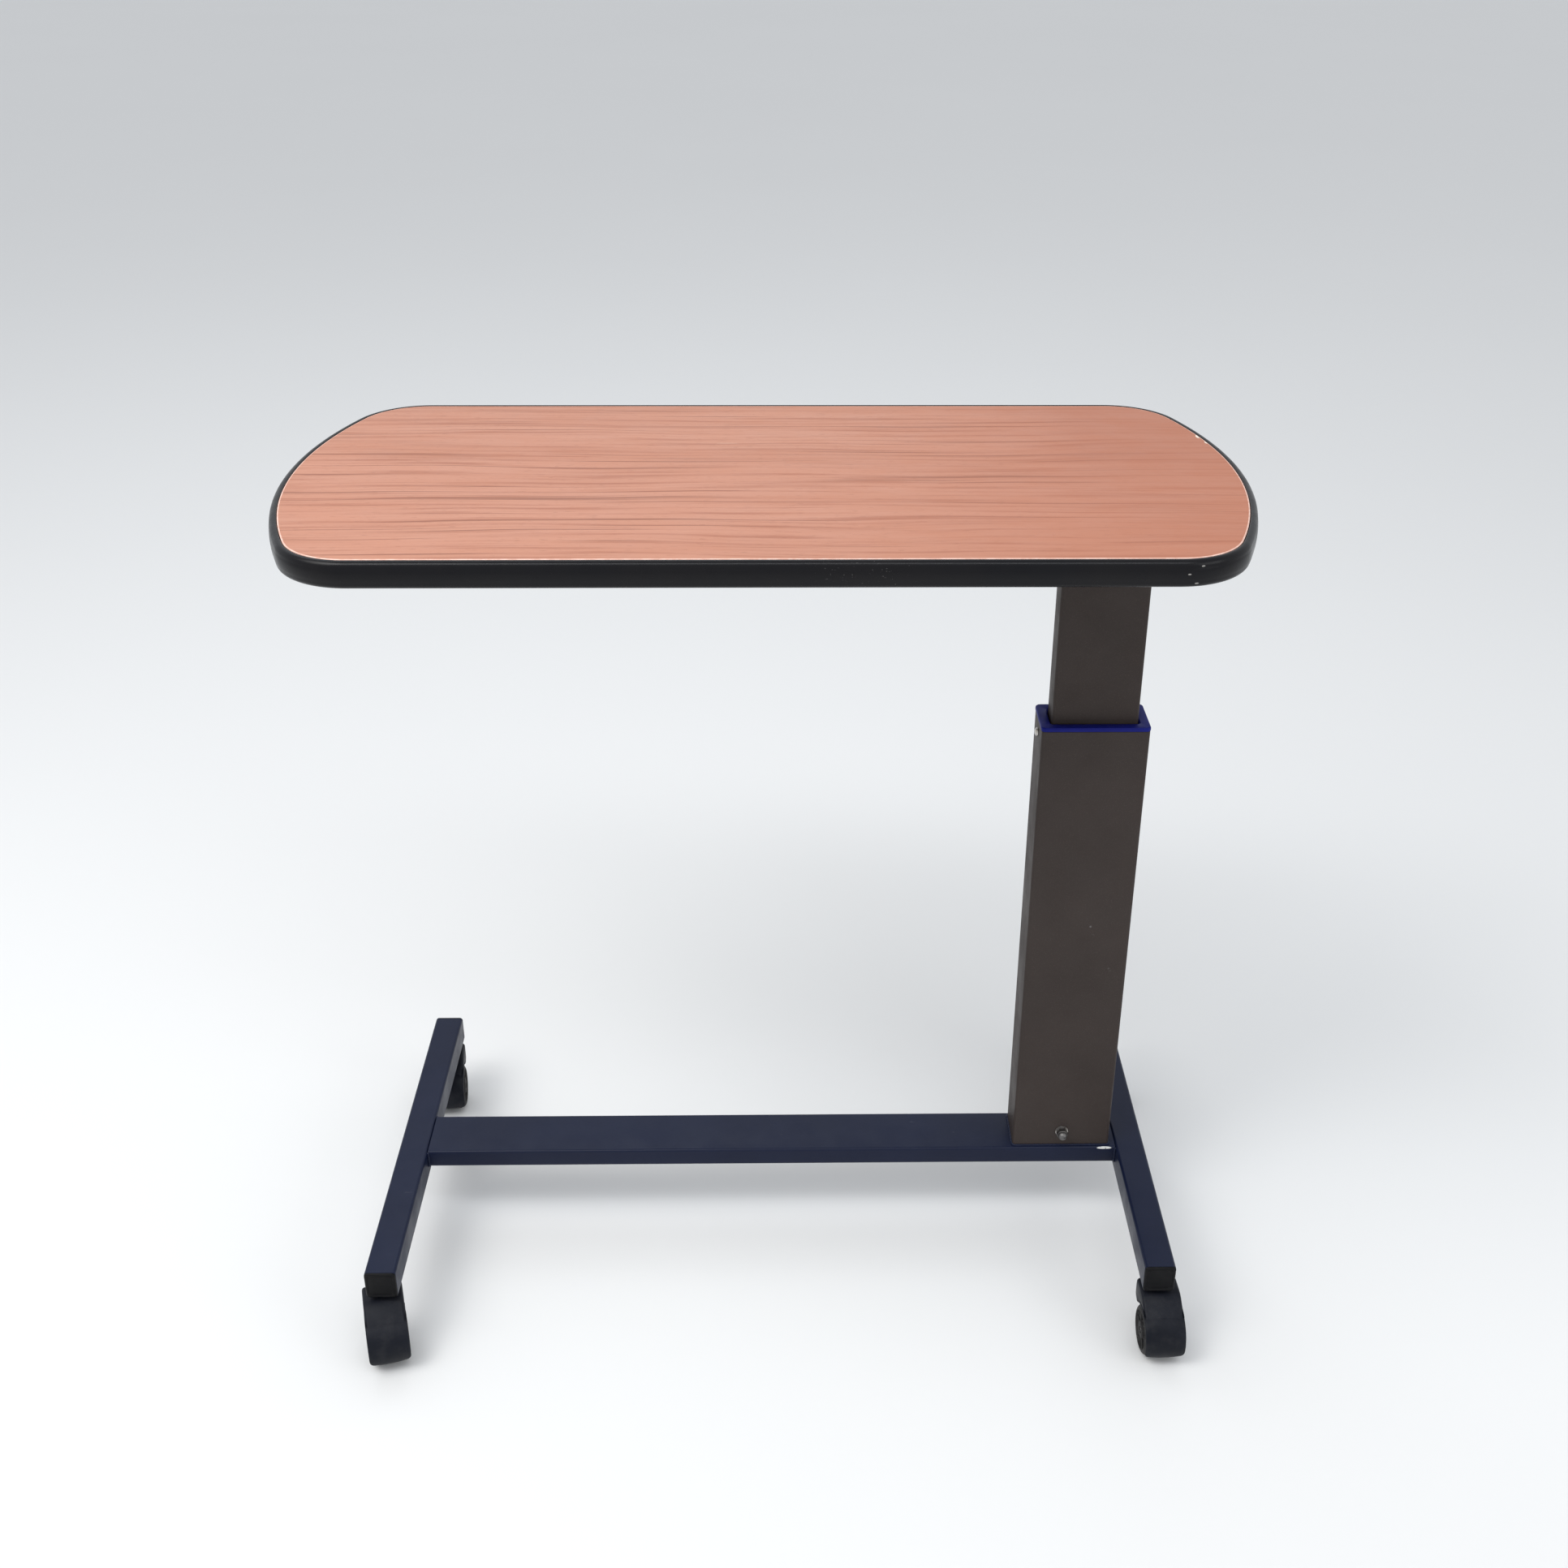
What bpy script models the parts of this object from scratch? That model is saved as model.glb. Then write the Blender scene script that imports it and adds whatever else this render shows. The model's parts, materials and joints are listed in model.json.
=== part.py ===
"""Overbed table: a laminated top on an offset telescopic column, over an H-shaped base on
four twin-wheel casters.

Metres, +Z up. The origin is on the floor under the middle of the table's outline. +X runs
along the top, towards the column, and -Y is the user's side. The gas spring runs inside the
column; its release lever and the two rails are under the top.
"""

import math

import bmesh
import bpy
from mathutils import Matrix, Vector

# ---- driving dimensions -------------------------------------------------------------------------
GAP = 0.0003                     # between pieces that touch
TABLE_Y = 0.018                  # the column's plane: the front casters trail out past the feet
WALL = 0.0015                    # wall of every steel tube

TOP_HEIGHT = 0.820               # laminate surface over the floor
LAMINATE_HALF_LENGTH = 0.4075
LAMINATE_HALF_DEPTH = 0.1975
END_ARC_RADIUS = 0.432           # the shallow curve of each short end
CORNER_RADIUS = 0.060
LAMINATE_THICK = 0.0008
BOARD_THICK = 0.0192
EDGE_THICK = 0.0225              # the black edging, from top to bottom
EDGE_NOSE = 0.0075               # how far the edging stands out from the board
BARB_DEPTH, BARB_HALF = 0.008, 0.0011

FOOT_X, FOOT_WIDTH, FOOT_HEIGHT = 0.3725, 0.030, 0.030
FOOT_HALF_LENGTH = 0.205         # with its end caps
CAP_FLANGE = 0.002
CASTER_HEIGHT = 0.068            # floor to the underside of the foot
BASE_TOP = CASTER_HEIGHT + FOOT_HEIGHT
CROSSBAR_WIDTH, CROSSBAR_HEIGHT = 0.058, 0.020

COLUMN_X = 0.300
OUTER_WIDTH, OUTER_DEPTH = 0.100, 0.050
INNER_WIDTH, INNER_DEPTH = 0.080, 0.030
OUTER_TOP = BASE_TOP + 0.4835
INNER_TOP, INNER_BOTTOM = 0.7775, 0.3033
LIP_HEIGHT, LIP_OVERHANG = 0.004, 0.0005
SLEEVE_DEPTH = 0.050
BOLT_Z, BOLT_RADIUS = BASE_TOP + 0.019, 0.003

PLATE_THICK, PLATE_X, PLATE_Y = 0.005, 0.120, 0.166
RAIL_Y, RAIL_WIDTH, RAIL_HEIGHT = 0.068, 0.025, 0.015
RAIL_X = (-0.245, 0.383)
RAIL_SCREW_X = (-0.215, 0.371)
RAIL_BASE = INNER_TOP + GAP + PLATE_THICK + GAP

ROD_RADIUS, GAS_RADIUS, GAS_BORE, PISTON_RADIUS = 0.005, 0.011, 0.0095, 0.0089
GAS_TOP, GAS_GUIDE, PISTON_Z = 0.505, 0.018, 0.300
PIN_RADIUS, PIN_DEPTH = 0.0020, 0.024
LEVER_PIVOT_X, LEVER_Z = 0.322, 0.7885
LEVER_WIDTH, LEVER_THICK, LEVER_PIN_RADIUS = 0.014, 0.004, 0.0015

WHEEL_RADIUS, CASTER_TRAIL = 0.025, 0.020
HOOD_RADIUS, HOOD_INNER, HOOD_HALF_WIDTH = 0.0275, 0.0257, 0.0195
WEB_HALF = 0.0022
SADDLE_TOP, SADDLE_HALF = 0.0630, 0.0191
STEM_BOTTOM, SOCKET_DEPTH = 0.0520, 0.0120
AXLE_RADIUS, STEM_RADIUS = 0.003, 0.004
CASTER_INSET = 0.014             # swivel axis, in from the foot's end
STEM_X = FOOT_X + 0.0035         # swivel axis, a little outboard of the foot's middle
# the way each caster trails, in degrees from +X
CASTERS = {
    "front_left": (-STEM_X, -1, -75.0),
    "front_right": (STEM_X, -1, -88.0),
    "rear_left": (-STEM_X, 1, -85.0),
    "rear_right": (STEM_X, 1, -90.0),
}

# colour, roughness, metallic
FINISHES = {
    "base_paint": ((0.030, 0.038, 0.062), 0.38, 0.0),
    "column_paint": ((0.052, 0.044, 0.041), 0.50, 0.0),
    "laminate": ((0.62, 0.33, 0.22), 0.42, 0.0),
    "board": ((0.52, 0.40, 0.27), 0.90, 0.0),
    "backer": ((0.55, 0.53, 0.49), 0.60, 0.0),
    "edging": ((0.012, 0.012, 0.015), 0.35, 0.0),
    "blue_plastic": ((0.010, 0.020, 0.180), 0.38, 0.0),
    "black_plastic": ((0.016, 0.016, 0.018), 0.50, 0.0),
    "zinc_steel": ((0.55, 0.55, 0.56), 0.30, 1.0),
    "rod_steel": ((0.70, 0.70, 0.72), 0.12, 1.0),
}


# ---- scene helpers ------------------------------------------------------------------------------
def clear_scene():
    for thing in list(bpy.data.objects):
        bpy.data.objects.remove(thing, do_unlink=True)


def make_collection(name):
    collection = bpy.data.collections.new(name)
    bpy.context.scene.collection.children.link(collection)
    return collection


def make_material(name):
    colour, roughness, metallic = FINISHES[name]
    material = bpy.data.materials.new(name)
    material.use_nodes = True
    shader = material.node_tree.nodes["Principled BSDF"]
    shader.inputs["Base Color"].default_value = (*colour, 1.0)
    shader.inputs["Roughness"].default_value = roughness
    shader.inputs["Metallic"].default_value = metallic
    return material


clear_scene()
PARTS = make_collection("overbed_table")
CUTTERS = make_collection("cutters")
MATERIALS = {name: make_material(name) for name in FINISHES}


def frame_empty(name, location, parent=None, turn=0.0):
    """An empty that carries pieces; turn is about +Z."""
    empty = bpy.data.objects.new(name, None)
    empty.location = location
    empty.rotation_euler = (0.0, 0.0, turn)
    empty.parent = parent
    PARTS.objects.link(empty)
    return empty


TABLE = frame_empty("table_frame", (0.0, TABLE_Y, 0.0))


def smooth(mesh, angle=35.0):
    mesh.shade_smooth()
    mesh.set_sharp_from_angle(angle=math.radians(angle))


def link_part(name, mesh, finish, location=(0, 0, 0), rotation=(0, 0, 0), parent=TABLE):
    part = bpy.data.objects.new(name, mesh)
    part.location = location
    part.rotation_euler = rotation
    part.parent = parent
    if finish is None:
        part.hide_render = True
        part.display_type = "WIRE"
        CUTTERS.objects.link(part)
    else:
        mesh.materials.append(MATERIALS[finish])
        PARTS.objects.link(part)
    return part


def boolean(part, tool, operation="DIFFERENCE"):
    modifier = part.modifiers.new(operation.lower() + "_" + tool.name, "BOOLEAN")
    modifier.operation = operation
    modifier.object = tool
    modifier.solver = "EXACT"
    return part


# ---- shape helpers ------------------------------------------------------------------------------
def box_mesh(name, size, top_scale=(1.0, 1.0)):
    """A box about its centre; top_scale spreads its upper face."""
    work = bmesh.new()
    bmesh.ops.create_cube(work, size=1.0)
    bmesh.ops.scale(work, vec=size, verts=work.verts)
    upper = [v for v in work.verts if v.co.z > 0]
    bmesh.ops.scale(work, vec=(*top_scale, 1.0), verts=upper)
    mesh = bpy.data.meshes.new(name)
    work.to_mesh(mesh)
    work.free()
    return mesh


def cylinder_mesh(name, radius, length, sides=24):
    work = bmesh.new()
    bmesh.ops.create_cone(work, cap_ends=True, segments=sides, radius1=radius, radius2=radius, depth=length)
    mesh = bpy.data.meshes.new(name)
    work.to_mesh(mesh)
    work.free()
    smooth(mesh)
    return mesh


def cutter_cylinder(name, radius, length, location, rotation=(0, 0, 0), parent=TABLE, sides=24):
    return link_part(name, cylinder_mesh(name, radius, length, sides), None, location, rotation, parent)


def arc(centre, radius, start, end, steps):
    """Points of an arc, with angles in degrees, both ends included."""
    angles = [math.radians(start + (end - start) * i / steps) for i in range(steps + 1)]
    return [(centre[0] + radius * math.cos(a), centre[1] + radius * math.sin(a)) for a in angles]


def rounded_rectangle(width, depth, radius, steps=4):
    x, y = width / 2 - radius, depth / 2 - radius
    corners = ((x, y, 0), (-x, y, 90), (-x, -y, 180), (x, -y, 270))
    return [point for cx, cy, start in corners for point in arc((cx, cy), radius, start, start + 90, steps)]


def outline_mesh(name, outlines, height):
    """A solid with the first flat outline, holed by the others, height tall about z = 0."""
    curve = bpy.data.curves.new(name, "CURVE")
    curve.dimensions = "2D"
    curve.fill_mode = "BOTH"
    curve.extrude = height / 2
    for points in outlines:
        spline = curve.splines.new("POLY")
        spline.points.add(len(points) - 1)
        for slot, (x, y) in zip(spline.points, points):
            slot.co = (x, y, 0.0, 1.0)
        spline.use_cyclic_u = True
    return mesh_of_curve(curve, name)


def mesh_of_curve(curve, name):
    """The curve's mesh with its loose caps welded on."""
    carrier = bpy.data.objects.new(name + "_curve", curve)
    CUTTERS.objects.link(carrier)
    bpy.context.view_layer.update()
    evaluated = carrier.evaluated_get(bpy.context.evaluated_depsgraph_get())
    mesh = bpy.data.meshes.new_from_object(evaluated)
    bpy.data.objects.remove(carrier)
    work = bmesh.new()
    work.from_mesh(mesh)
    bmesh.ops.remove_doubles(work, verts=work.verts, dist=0.00001)
    bmesh.ops.recalc_face_normals(work, faces=work.faces)
    work.to_mesh(mesh)
    work.free()
    mesh.name = name
    smooth(mesh)
    return mesh


def tube_mesh(name, width, depth, length, radius=0.003):
    """A rectangular tube along Z with rounded edges."""
    inner_radius = max(radius - WALL, 0.0006)
    return outline_mesh(
        name,
        [
            rounded_rectangle(width, depth, radius),
            rounded_rectangle(width - 2 * WALL, depth - 2 * WALL, inner_radius),
        ],
        length,
    )


def turned(
    name,
    profile,
    finish,
    location=(0, 0, 0),
    rotation=(0, 0, 0),
    parent=TABLE,
    steps=24,
    bored=False,
):
    """A turned piece about its local Z. The profile is (radius, height) pairs, down the outer side."""
    mesh = bpy.data.meshes.new(name)
    edges = [(i, i + 1) for i in range(len(profile) - 1)]
    if bored:
        edges.append((len(profile) - 1, 0))
    mesh.from_pydata([(r, 0.0, z) for r, z in profile], edges, [])
    part = link_part(name, mesh, finish, location, rotation, parent)
    screw = part.modifiers.new("turn", "SCREW")
    screw.steps = screw.render_steps = steps
    screw.use_merge_vertices = True
    screw.merge_threshold = 0.00001
    screw.use_smooth_shade = False
    return part


# ---- tabletop -----------------------------------------------------------------------------------
def top_outline(offset=0.0):
    """The top's outline: two straight sides, a shallow arc at each end, and four tangent corners."""
    half_depth = LAMINATE_HALF_DEPTH
    end_x = LAMINATE_HALF_LENGTH - END_ARC_RADIUS
    corner_y = half_depth - CORNER_RADIUS
    corner_x = end_x + math.sqrt((END_ARC_RADIUS - CORNER_RADIUS) ** 2 - corner_y**2)
    meet = math.degrees(math.atan2(corner_y, corner_x - end_x))
    end = arc((end_x, 0.0), END_ARC_RADIUS + offset, -meet, meet, 8)
    corner = arc((corner_x, corner_y), CORNER_RADIUS + offset, meet, 90, 7)[1:]
    right = [(x, -y) for x, y in reversed(corner)] + end + corner
    return right + [(-x, -y) for x, y in right]


def edging_profile(with_nose=True):
    """The edging's section: outward from the board's side, and height about the board's middle."""
    half = EDGE_THICK / 2
    nose = [
        (GAP, BARB_HALF),
        (GAP, half - 0.0008),
        (0.0012, half),
        (0.0030, half - 0.0002),
        (0.0052, half - 0.0018),
        (0.0068, half - 0.0048),
        (EDGE_NOSE, 0.0),
    ]
    nose += [(out, -height) for out, height in reversed(nose[:-1])]
    barb = [(-BARB_DEPTH, -BARB_HALF), (-BARB_DEPTH, BARB_HALF)]
    groove = BARB_HALF + GAP
    if not with_nose:
        return [
            (0.002, groove),
            (0.002, -groove),
            (-BARB_DEPTH - GAP, -groove),
            (-BARB_DEPTH - GAP, groove),
        ]
    return nose + barb


def swept_ring_mesh(name, profile):
    """The profile carried round the top's outline: one ring of points for each outline point."""
    outer, inner = top_outline(1.0), top_outline(0.0)
    work = bmesh.new()
    rings = []
    for (ox, oy), (ix, iy) in zip(outer, inner):
        outward = Vector((ox - ix, oy - iy)).normalized()
        rings.append([work.verts.new((ix + outward.x * u, iy + outward.y * u, v)) for u, v in profile])
    count = len(profile)
    for ring, following in zip(rings, rings[1:] + rings[:1]):
        for i in range(count):
            j = (i + 1) % count
            work.faces.new((ring[i], ring[j], following[j], following[i]))
    bmesh.ops.recalc_face_normals(work, faces=work.faces)
    mesh = bpy.data.meshes.new(name)
    work.to_mesh(mesh)
    work.free()
    smooth(mesh)
    return mesh


def build_top():
    board_top = TOP_HEIGHT - LAMINATE_THICK - GAP
    board_middle = board_top - BOARD_THICK / 2
    outline = top_outline()
    link_part(
        "top_laminate",
        outline_mesh("top_laminate", [outline], LAMINATE_THICK),
        "laminate",
        (0, 0, TOP_HEIGHT - LAMINATE_THICK / 2),
    )
    backer_z = board_top - BOARD_THICK - GAP - LAMINATE_THICK / 2
    backer = link_part(
        "bottom_laminate", outline_mesh("bottom_laminate", [outline], LAMINATE_THICK), "backer", (
            0,
            0,
            backer_z,
        )
    )
    board = link_part(
        "tabletop_board", outline_mesh("tabletop_board", [outline], BOARD_THICK), "board", (
            0,
            0,
            board_middle,
        )
    )
    edge_middle = TOP_HEIGHT - EDGE_THICK / 2
    groove = link_part(
        "edging_groove", swept_ring_mesh("edging_groove", edging_profile(False)), None, (0, 0, edge_middle)
    )
    boolean(board, groove)
    link_part(
        "edge_bumper",
        swept_ring_mesh("edge_bumper", edging_profile()),
        "edging",
        (0, 0, edge_middle),
    )
    return board, backer


def build_rails(board, backer):
    """Two tubes under the board, each held to it by two screws."""
    middle_x, length = sum(RAIL_X) / 2, RAIL_X[1] - RAIL_X[0]
    for side, y in (("front", -RAIL_Y), ("rear", RAIL_Y)):
        rail = link_part(
            f"{side}_support_rail",
            tube_mesh(f"{side}_support_rail", RAIL_HEIGHT, RAIL_WIDTH, length, 0.002),
            "base_paint",
            (middle_x, y, RAIL_BASE + RAIL_HEIGHT / 2),
            (0, math.radians(90), 0),
        )
        for place, x in zip(("left", "right"), RAIL_SCREW_X):
            hole = cutter_cylinder(
                f"{side}_{place}_screw_hole",
                0.0023,
                0.034,
                (x, y, RAIL_BASE + 0.0145),
                sides=16,
            )
            for pierced in (rail, backer, board):
                boolean(pierced, hole)
            screw = [
                (0, 0.030),
                (0.0009, 0.0285),
                (0.0019, 0.026),
                (0.0019, 0),
                (0.0045, -0.0003),
                (0.0043, -0.0018),
            ]
            turned(
                f"{side}_{place}_wood_screw",
                screw + [(0.0028, -0.0028), (0, -0.0030)],
                "zinc_steel",
                (x, y, RAIL_BASE - GAP),
                steps=12,
            )


# ---- base ---------------------------------------------------------------------------------------
def build_feet():
    tube_length = 2 * (FOOT_HALF_LENGTH - CAP_FLANGE - GAP)
    lying = (math.radians(90), 0, 0)
    for side, x, stem_x in (("left", -FOOT_X, -STEM_X), ("right", FOOT_X, STEM_X)):
        foot = link_part(
            f"{side}_foot_tube",
            tube_mesh(f"{side}_foot_tube", FOOT_WIDTH, FOOT_HEIGHT, tube_length),
            "base_paint",
            (x, 0, BASE_TOP - FOOT_HEIGHT / 2),
            lying,
        )
        for end, sign in (("front", -1), ("rear", 1)):
            y = sign * (FOOT_HALF_LENGTH - CASTER_INSET)
            hole = cutter_cylinder(
                f"{end}_{side}_stem_hole",
                STEM_RADIUS + GAP,
                0.010,
                (stem_x, y, CASTER_HEIGHT),
            )
            boolean(foot, hole)
            build_end_cap(f"{end}_{side}_end_cap", x, sign)


def build_end_cap(name, x, sign):
    """A push-in plug: a flange over the tube's end, and a shallow spigot clear of the stem nut."""
    flange = outline_mesh(name, [rounded_rectangle(FOOT_WIDTH, FOOT_HEIGHT, 0.003)], CAP_FLANGE)
    y = sign * (FOOT_HALF_LENGTH - CAP_FLANGE / 2)
    z = BASE_TOP - FOOT_HEIGHT / 2
    lying = (math.radians(90), 0, 0)
    cap = link_part(name, flange, "black_plastic", (x, y, z), lying)
    hollow = 2 * (WALL + 0.0005)
    spigot = outline_mesh(
        name + "_spigot", [rounded_rectangle(FOOT_WIDTH - hollow, FOOT_HEIGHT - hollow, 0.0015)], 0.004
    )
    tool = link_part(name + "_spigot", spigot, None, (x, y - sign * (CAP_FLANGE / 2 + 0.0015), z), lying)
    boolean(cap, tool, "UNION")


def build_crossbar():
    length = 2 * (FOOT_X - FOOT_WIDTH / 2 - GAP)
    link_part(
        "crossbar",
        tube_mesh("crossbar", CROSSBAR_HEIGHT, CROSSBAR_WIDTH, length),
        "base_paint",
        (0, 0, BASE_TOP - CROSSBAR_HEIGHT / 2),
        (0, math.radians(90), 0),
    )


# ---- casters ------------------------------------------------------------------------------------
def hood_outline(inner, outer, start, end):
    centre = (CASTER_TRAIL, WHEEL_RADIUS)
    return arc(centre, outer, start, end, 14) + arc(centre, inner, end, start, 14)


def side_plate(name, outline, half_width, parent, finish=None):
    """An outline drawn in the caster's side view, carried half_width to each side."""
    upright = (math.radians(90), 0, 0)
    return link_part(
        name,
        outline_mesh(name, [outline], 2 * half_width),
        finish,
        (0, 0, 0),
        upright,
        parent,
    )


def build_hood(name, swivel):
    """The housing: a band over both wheels, a web between them and a saddle that holds the stem."""
    centre = (CASTER_TRAIL, WHEEL_RADIUS)
    band = side_plate(
        name,
        hood_outline(HOOD_INNER, HOOD_RADIUS, -28, 132),
        HOOD_HALF_WIDTH,
        swivel,
        "black_plastic",
    )
    saddle = [(0.0335, 0.0487), (0.026, 0.0545), (0.018, 0.0595), (0.010, SADDLE_TOP)]
    saddle += [(-0.009, SADDLE_TOP), (-0.012, SADDLE_TOP - 0.003), (-0.012, 0.044), (-0.009, 0.041)]
    saddle += arc(centre, HOOD_INNER, 148, 62, 10)
    boolean(band, side_plate(name + "_saddle", saddle, SADDLE_HALF, swivel), "UNION")
    web = arc(centre, HOOD_INNER + 0.0008, -24, 140, 16) + [(-0.006, 0.034), (0.008, 0.015), (0.020, 0.012)]
    boolean(band, side_plate(name + "_web", web, WEB_HALF, swivel), "UNION")
    socket = cutter_cylinder(
        name + "_socket",
        STEM_RADIUS + GAP,
        SOCKET_DEPTH + 0.002,
        (0, 0, SADDLE_TOP + 0.001 - SOCKET_DEPTH / 2),
        parent=swivel,
    )
    boolean(band, socket)
    axle_hole = cutter_cylinder(
        name + "_axle_hole",
        AXLE_RADIUS + GAP,
        0.010,
        (CASTER_TRAIL, 0, WHEEL_RADIUS),
        (math.radians(90), 0, 0),
        swivel,
    )
    boolean(band, axle_hole)


def build_wheel(name, swivel, sign):
    """One wheel of the pair, its flat side to the web and its dished side out."""
    bore, inner_face, outer_face = AXLE_RADIUS + GAP, WEB_HALF + 0.0006, HOOD_HALF_WIDTH
    profile = [
        (bore, outer_face - 0.0010),
        (0.0075, outer_face - 0.0010),
        (0.0085, outer_face - 0.0026),
        (0.0190, outer_face - 0.0020),
        (0.0200, outer_face),
        (0.0225, outer_face - 0.0008),
        (0.0243, outer_face - 0.0030),
        (WHEEL_RADIUS, outer_face - 0.0060),
        (WHEEL_RADIUS, inner_face + 0.0012),
        (0.0240, inner_face),
        (bore, inner_face),
    ]
    turned(
        name,
        profile,
        "black_plastic",
        (CASTER_TRAIL, 0, WHEEL_RADIUS),
        (math.radians(-90 * sign), 0, 0),
        swivel,
        steps=24,
        bored=True,
    )


def build_caster(place, x, side, trail_angle):
    y = side * (FOOT_HALF_LENGTH - CASTER_INSET)
    swivel = frame_empty(f"{place}_swivel", (x, y, 0), TABLE, math.radians(trail_angle))
    build_hood(f"{place}_caster_hood", swivel)
    axle_half = HOOD_HALF_WIDTH - 0.0012
    axle = [(0, axle_half), (AXLE_RADIUS, axle_half), (AXLE_RADIUS, -axle_half), (0, -axle_half)]
    lying = (math.radians(90), 0, 0)
    turned(f"{place}_caster_axle", axle, "zinc_steel", (CASTER_TRAIL, 0, WHEEL_RADIUS), lying, swivel, 14)
    for which, sign in (("left", -1), ("right", 1)):
        build_wheel(f"{place}_{which}_wheel", swivel, sign)
    collar_base, collar_top = SADDLE_TOP + 0.0006, CASTER_HEIGHT - GAP
    stem = [(0, 0.093), (STEM_RADIUS - 0.0006, 0.093), (STEM_RADIUS, 0.0922), (STEM_RADIUS, collar_top)]
    stem += [
        (0.0085, collar_top),
        (0.0085, collar_base),
        (STEM_RADIUS, collar_base),
        (STEM_RADIUS, STEM_BOTTOM),
        (0, STEM_BOTTOM),
    ]
    turned(f"{place}_caster_stem", stem, "zinc_steel", (x, y, 0), steps=14)
    nut_height = 0.006
    nut_name = f"{place}_stem_nut"
    nut_z = CASTER_HEIGHT + WALL + GAP + nut_height / 2
    nut = link_part(nut_name, cylinder_mesh(nut_name, 0.0075, nut_height, 6), "zinc_steel", (x, y, nut_z))
    boolean(nut, cutter_cylinder(nut_name + "_bore", STEM_RADIUS + GAP, 0.010, (x, y, nut_z)))


# ---- column -------------------------------------------------------------------------------------
def build_outer_column():
    length = OUTER_TOP - BASE_TOP - GAP
    column = link_part(
        "outer_column",
        tube_mesh("outer_column", OUTER_WIDTH, OUTER_DEPTH, length),
        "column_paint",
        (COLUMN_X, 0, OUTER_TOP - length / 2),
    )
    across = (math.radians(90), 0, 0)
    boolean(column, cutter_cylinder("bolt_holes", BOLT_RADIUS + GAP, 0.060, (COLUMN_X, 0, BOLT_Z), across))
    return column


def build_guide_sleeve(column):
    """The blue guide in the outer tube's mouth: its lip on the rim, flared for the inner tube."""
    lip = outline_mesh(
        "guide_sleeve",
        [
            rounded_rectangle(OUTER_WIDTH + 2 * LIP_OVERHANG, OUTER_DEPTH + 2 * LIP_OVERHANG, 0.004),
            rounded_rectangle(INNER_WIDTH + 0.0008, INNER_DEPTH + 0.0008, 0.0032),
        ],
        LIP_HEIGHT,
    )
    sleeve = link_part("guide_sleeve", lip, "blue_plastic", (COLUMN_X, 0, OUTER_TOP + GAP + LIP_HEIGHT / 2))
    clear = 2 * (WALL + 0.0003)
    body_mesh = outline_mesh(
        "sleeve_body",
        [
            rounded_rectangle(OUTER_WIDTH - clear, OUTER_DEPTH - clear, 0.0022),
            rounded_rectangle(INNER_WIDTH + 0.0008, INNER_DEPTH + 0.0008, 0.0032),
        ],
        SLEEVE_DEPTH,
    )
    body_z = OUTER_TOP + GAP + 0.002 - SLEEVE_DEPTH / 2
    boolean(sleeve, link_part("sleeve_body", body_mesh, None, (COLUMN_X, 0, body_z)), "UNION")
    flare_height, flare = 0.004, 0.0022
    mouth = box_mesh(
        "sleeve_flare",
        (INNER_WIDTH, INNER_DEPTH, flare_height),
        (1 + 4 * flare / INNER_WIDTH, 1 + 4 * flare / INNER_DEPTH),
    )
    lip_top = OUTER_TOP + GAP + LIP_HEIGHT
    boolean(sleeve, link_part("sleeve_flare", mouth, None, (COLUMN_X, 0, lip_top)))
    for side, sign in (("left", -1), ("right", 1)):
        face_x = COLUMN_X + sign * OUTER_WIDTH / 2
        turn = (0, math.radians(90 * sign), 0)
        place = (face_x, 0, OUTER_TOP - 0.012)
        hole = cutter_cylinder(f"{side}_sleeve_hole", 0.0023, 0.0150, place, turn, sides=16)
        boolean(column, hole)
        boolean(sleeve, hole)
        screw = [
            (0, 0.0030),
            (0.0024, 0.0029),
            (0.0040, 0.0018),
            (0.0042, GAP),
            (0.0019, GAP),
            (0.0019, -0.006),
        ]
        turned(f"{side}_sleeve_screw", screw + [(0, -0.0068)], "zinc_steel", place, turn, steps=12)


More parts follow.
